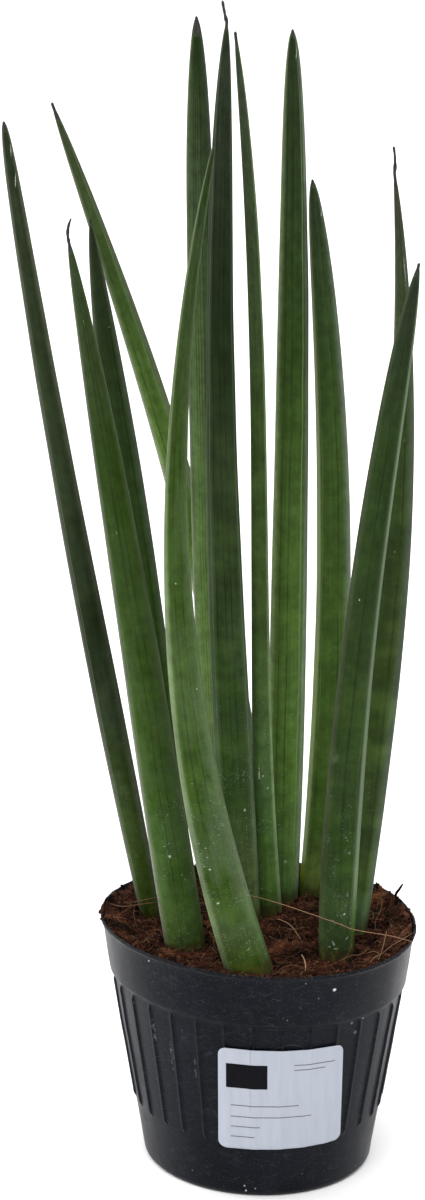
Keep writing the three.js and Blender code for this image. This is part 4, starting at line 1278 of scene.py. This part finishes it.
def add_fibres(build):
    draw = np.random.RandomState(61)
    reach = SOIL_RADIUS - 2
    share = np.linspace(-1, 1, 8)
    arch = 1 - share ** 2
    for number in range(FIBRES):
        lengths, radii = SHORT_FIBRE if number % LONG_EVERY else LONG_FIBRE
        radius, angle = reach * math.sqrt(draw.uniform()), draw.uniform(0, TAU)
        heading = draw.uniform(0, TAU)
        length = draw.uniform(*lengths)
        bend = draw.uniform(-FIBRE_BEND, FIBRE_BEND)
        lift = abs(draw.normal(0, FIBRE_ARCH[0])) + FIBRE_ARCH[1]
        thick = draw.uniform(*radii)
        tone = 0.2 + 0.44 * draw.uniform() ** 2
        turn = heading + bend * share
        step = np.stack([np.cos(turn), np.sin(turn)], axis=-1) * length / len(share)
        flat = np.cumsum(step, axis=0)
        flat += (radius * math.sin(angle), -radius * math.cos(angle)) - flat.mean(axis=0)
        x, y = flat.T
        if np.hypot(x, y).max() > reach + 1:
            continue
        ground = np.convolve(np.pad(soil_top(x, y), 1, mode="edge"), [0.25, 0.5, 0.25], "valid")
        ripple = FIBRE_RIPPLE * draw.normal(0, 1, len(share)) * arch
        rise = lift * arch - FIBRE_DIP + ripple
        path = settle(np.stack([x, y, ground + rise], axis=-1))
        if clear_of_leaves(path, 0.2).all():
            tube(build, path, thick * (1.1 - 0.5 * np.abs(share)), sides=3, tone=(tone, 1, 0))


# Loose fibres, and the broken twig at the right rim (tone 0): where each passes, its radius,
# and its tone from dark to pale.
LOOSE = (
    (((-7, -11, 106.5), (-4.3, -14, 108.2), (6.9, -21, 107.9), (13.6, -25, 107.3),
      (22.8, -27.5, 105.2), (28.8, -28, 103.3), (34, -27.5, 101.3), (46.2, -25, 98.5),
      (50.9, -22.5, 96.5), (55.6, -19, 93.9)), 0.15, 0.85),
    (((-59, 9, 94.5), (-53.8, 3.9, 95.5), (-48.9, 4.4, 96), (-44.7, 3.7, 97), (-40.8, 4.1, 97.5)),
     0.24, 0.46),
    (((-51.1, 5.4, 96.5), (-45.4, 5, 98), (-40.5, 5.7, 99)), 0.18, 0.5),
    (((-48.9, 4.1, 96), (-49.1, -2.1, 95), (-47.3, -9.2, 91.5)), 0.16, 0.36),
    (((-48.9, 4.1, 96), (-52.9, 0.5, 95), (-56.7, -5.9, 92.5)), 0.2, 0.36),
    (((-55.7, 26, 93.5), (-56.1, 20.4, 95), (-54.9, 13.3, 94.5)), 0.2, 0.34),
    (((43.6, -28.5, 92.3), (41.1, -26.5, 92.6), (38.1, -24.7, 91)), 0.14, 0.7),
    (((43.6, -28.5, 92.3), (41.4, -31.3, 92.4), (39.5, -33.4, 91)), 0.16, 0.72),
    (((43.6, -28.5, 92.3), (42.6, -32.7, 92.2), (41.7, -35.6, 91.2)), 0.13, 0.6),
    (((43.6, -28.5, 92.3), (47.8, -23.5, 94), (52.4, -17.4, 94.5), (55.6, -10.9, 94.2)),
     0.14, 0.62),
    (((32.7, -33.2, 98), (31.7, -33.7, 95), (29.6, -34, 91.5)), 0.1, 0.6),
    (((4.9, -6, 96.2), (6.4, -8, 96.7), (10.2, -12, 96.1), (14, -18, 93.2)), 0.16, 0.8),
    (((14.3, -34, 93.5), (15.3, -36, 92.4), (15.8, -38, 90.9), (15.7, -40, 89.4)), 0.25, 0.97),
    (((45.9, -16.7, 97), (44.8, -24, 95.5), (43.6, -28.5, 92.3)), 0.14, 0.7),
    (((50.4, 12.5, 97.2), (50.2, 13.5, 98.6), (50.2, 14, 100.2), (51.3, 15, 101.5),
      (52.6, 16, 103.3)), 0.55, 0.0),
    (((50.0, 13.0, 96.4), (50.6, 13.4, 97.6), (51.0, 13.8, 99.0)), 0.75, 0.0),
    (((50.2, 13.5, 98.4), (51.4, 13.6, 98.2), (52.6, 13.8, 97.2)), 0.4, 0.0),
)


def make_loose_fibres():
    build = Build()
    for handles, radius, tone in LOOSE:
        path = bent_path(handles, 10 * len(handles))
        taper = radius * (1 - 0.4 * np.abs(np.linspace(-1, 1, len(path))) ** 3)
        tube(build, path, taper, sides=6, tone=(tone, 1 if tone else 0, 0))
    build.finish("loose_fibres", bpy.data.materials["coir"])


# Colours of the soil from dark to pale, each from its level up, and of the fibres.
SOIL_STOPS = ((0.68, (0.002, 0.001, 0.0007)), (0.88, (0.013, 0.0045, 0.0022)),
              (1.03, (0.044, 0.0152, 0.0078)), (1.26, (0.13, 0.05, 0.023)))
# The level at the end of the ramp of colours.
SOIL_FULL = 1.5
FIBRE_DARK, FIBRE_PALE = (0.05, 0.017, 0.0085), (0.38, 0.225, 0.13)


def soil_material():
    n = Nodes("coir")
    tone, fibre, depth = n.split(n.attribute("tone"))
    spot = n.new("ShaderNodeTexCoord").outputs["Object"]
    grain = n.noise(spot, (900, 900, 900), detail=5.0, rough=0.7)
    patch = n.noise(spot, (110, 110, 110))
    level = n.plus(n.times(grain, 0.5), n.times(tone, 0.5))
    level = n.plus(level, n.times(patch, 0.95))
    # Painted shade in the hollows and round the leaves' feet, and painted light on the rises.
    level = n.plus(level, n.math("MULTIPLY_ADD", depth, 0.1, -0.01))
    ramp = n.new("ShaderNodeValToRGB")
    elements = ramp.color_ramp.elements
    while len(elements) < len(SOIL_STOPS):
        elements.new(0.5)
    for element, (at, colour) in zip(elements, SOIL_STOPS):
        element.position = at / SOIL_FULL
        element.color = (*colour, 1)
    n.join(n.math("DIVIDE", level, SOIL_FULL), ramp.inputs[0])
    strand = n.mix(n.span(tone, 0.3, 1.0, even=False), FIBRE_DARK, FIBRE_PALE)
    n.set(Base_Color=n.mix(fibre, ramp.outputs[0], strand),
          Roughness=n.swing(grain, 0.8, 0.95, True), Specular_IOR_Level=GLOSS["soil"],
          Normal=n.bump(grain, 0.6, 0.6))
    return n.material


# ------------------------------------------------------------------ studio

# From the middle of the floor to its sides, in metres.
FLOOR_REACH = 9.0
# Area lights: place, what they point at, width and height, all in metres, and radiance.
LIGHTS = {
    "softbox_left": ((-1.2, 0.1, 0.45), (0, 0, 0.2), (0.8, 0.9), 4.8),
    "softbox_right": ((1.2, 0.1, 0.45), (0, 0, 0.2), (0.8, 0.9), 0.85),
    "bank_over_back": ((-0.3, 2.85, 1.1), (-0.3, 2.85, 0), (9.0, 6.0), 1.6),
    "fill_high_front": ((-0.1, -1.35, 1.8), (0, 0, 0.12), (2.2, 1.4), 5.0),
}
# Radiance of the even light from all round.
WORLD_LIGHT = 0.12
# The camera: place in metres, how far it looks down, to the left and how far it rolls, in
# degrees, and its focal length in pixels of a frame 1200 pixels high.
CAMERA = dict(place=(0, -1.1, 0.52466), down=15.56, left=1.154, roll=1.33, focal=3107.86)
FRAME_HIGH, SENSOR = 1200, 36


def make_studio():
    n = Nodes("studio_floor")
    n.set(Base_Color=(0.93, 0.93, 0.93), Roughness=0.9, Specular_IOR_Level=GLOSS["floor"])
    mesh = bpy.data.meshes.new("floor")
    corners = [(-1, -1, 0), (1, -1, 0), (1, 1, 0), (-1, 1, 0)]
    mesh.from_pydata((np.array(corners) * FLOOR_REACH).tolist(), [], [[0, 1, 2, 3]])
    mesh.materials.append(n.material)
    floor = bpy.data.objects.new("floor", mesh)
    bpy.context.scene.collection.objects.link(floor)

    world = bpy.data.worlds.new("studio")
    bpy.context.scene.world = world
    world.use_nodes = True
    backing = world.node_tree.nodes["Background"].inputs
    backing["Color"].default_value = (1.0, 1.0, 1.0, 1)
    backing["Strength"].default_value = WORLD_LIGHT

    for name, (place, target, size, radiance) in LIGHTS.items():
        light = bpy.data.lights.new(name, "AREA")
        light.shape = "RECTANGLE"
        light.size, light.size_y = size
        light.energy = radiance * math.pi * size[0] * size[1]
        lamp = bpy.data.objects.new(name, light)
        lamp.location = place
        lamp.rotation_euler = (Vector(target) - Vector(place)).to_track_quat("-Z", "Y").to_euler()
        lamp.visible_camera = False
        bpy.context.scene.collection.objects.link(lamp)


def make_camera():
    down, left, roll = (math.radians(CAMERA[key]) for key in ("down", "left", "roll"))
    ahead = Vector((-math.sin(left) * math.cos(down), math.cos(left) * math.cos(down),
                    -math.sin(down)))
    level = ahead.cross(Vector((0, 0, 1))).normalized()
    up = level.cross(ahead)
    right = math.cos(roll) * level + math.sin(roll) * up
    over = -math.sin(roll) * level + math.cos(roll) * up
    data = bpy.data.cameras.new("camera")
    data.sensor_width = SENSOR
    data.lens = CAMERA["focal"] / FRAME_HIGH * SENSOR
    data.clip_start, data.clip_end = 0.01, 50
    camera = bpy.data.objects.new("camera", data)
    turn = Matrix((right, over, -ahead)).transposed()
    camera.matrix_world = Matrix.Translation(CAMERA["place"]) @ turn.to_4x4()
    bpy.context.scene.collection.objects.link(camera)
    bpy.context.scene.camera = camera


make_camera()
make_studio()
make_pot()
make_label()
make_soil()
make_loose_fibres()
for place_in_order, (leaf_name, leaf_facts) in enumerate(LEAVES.items()):
    make_leaf(leaf_name, leaf_facts, place_in_order)

scene = bpy.context.scene
scene.view_settings.view_transform = "Standard"
scene.view_settings.look = "None"
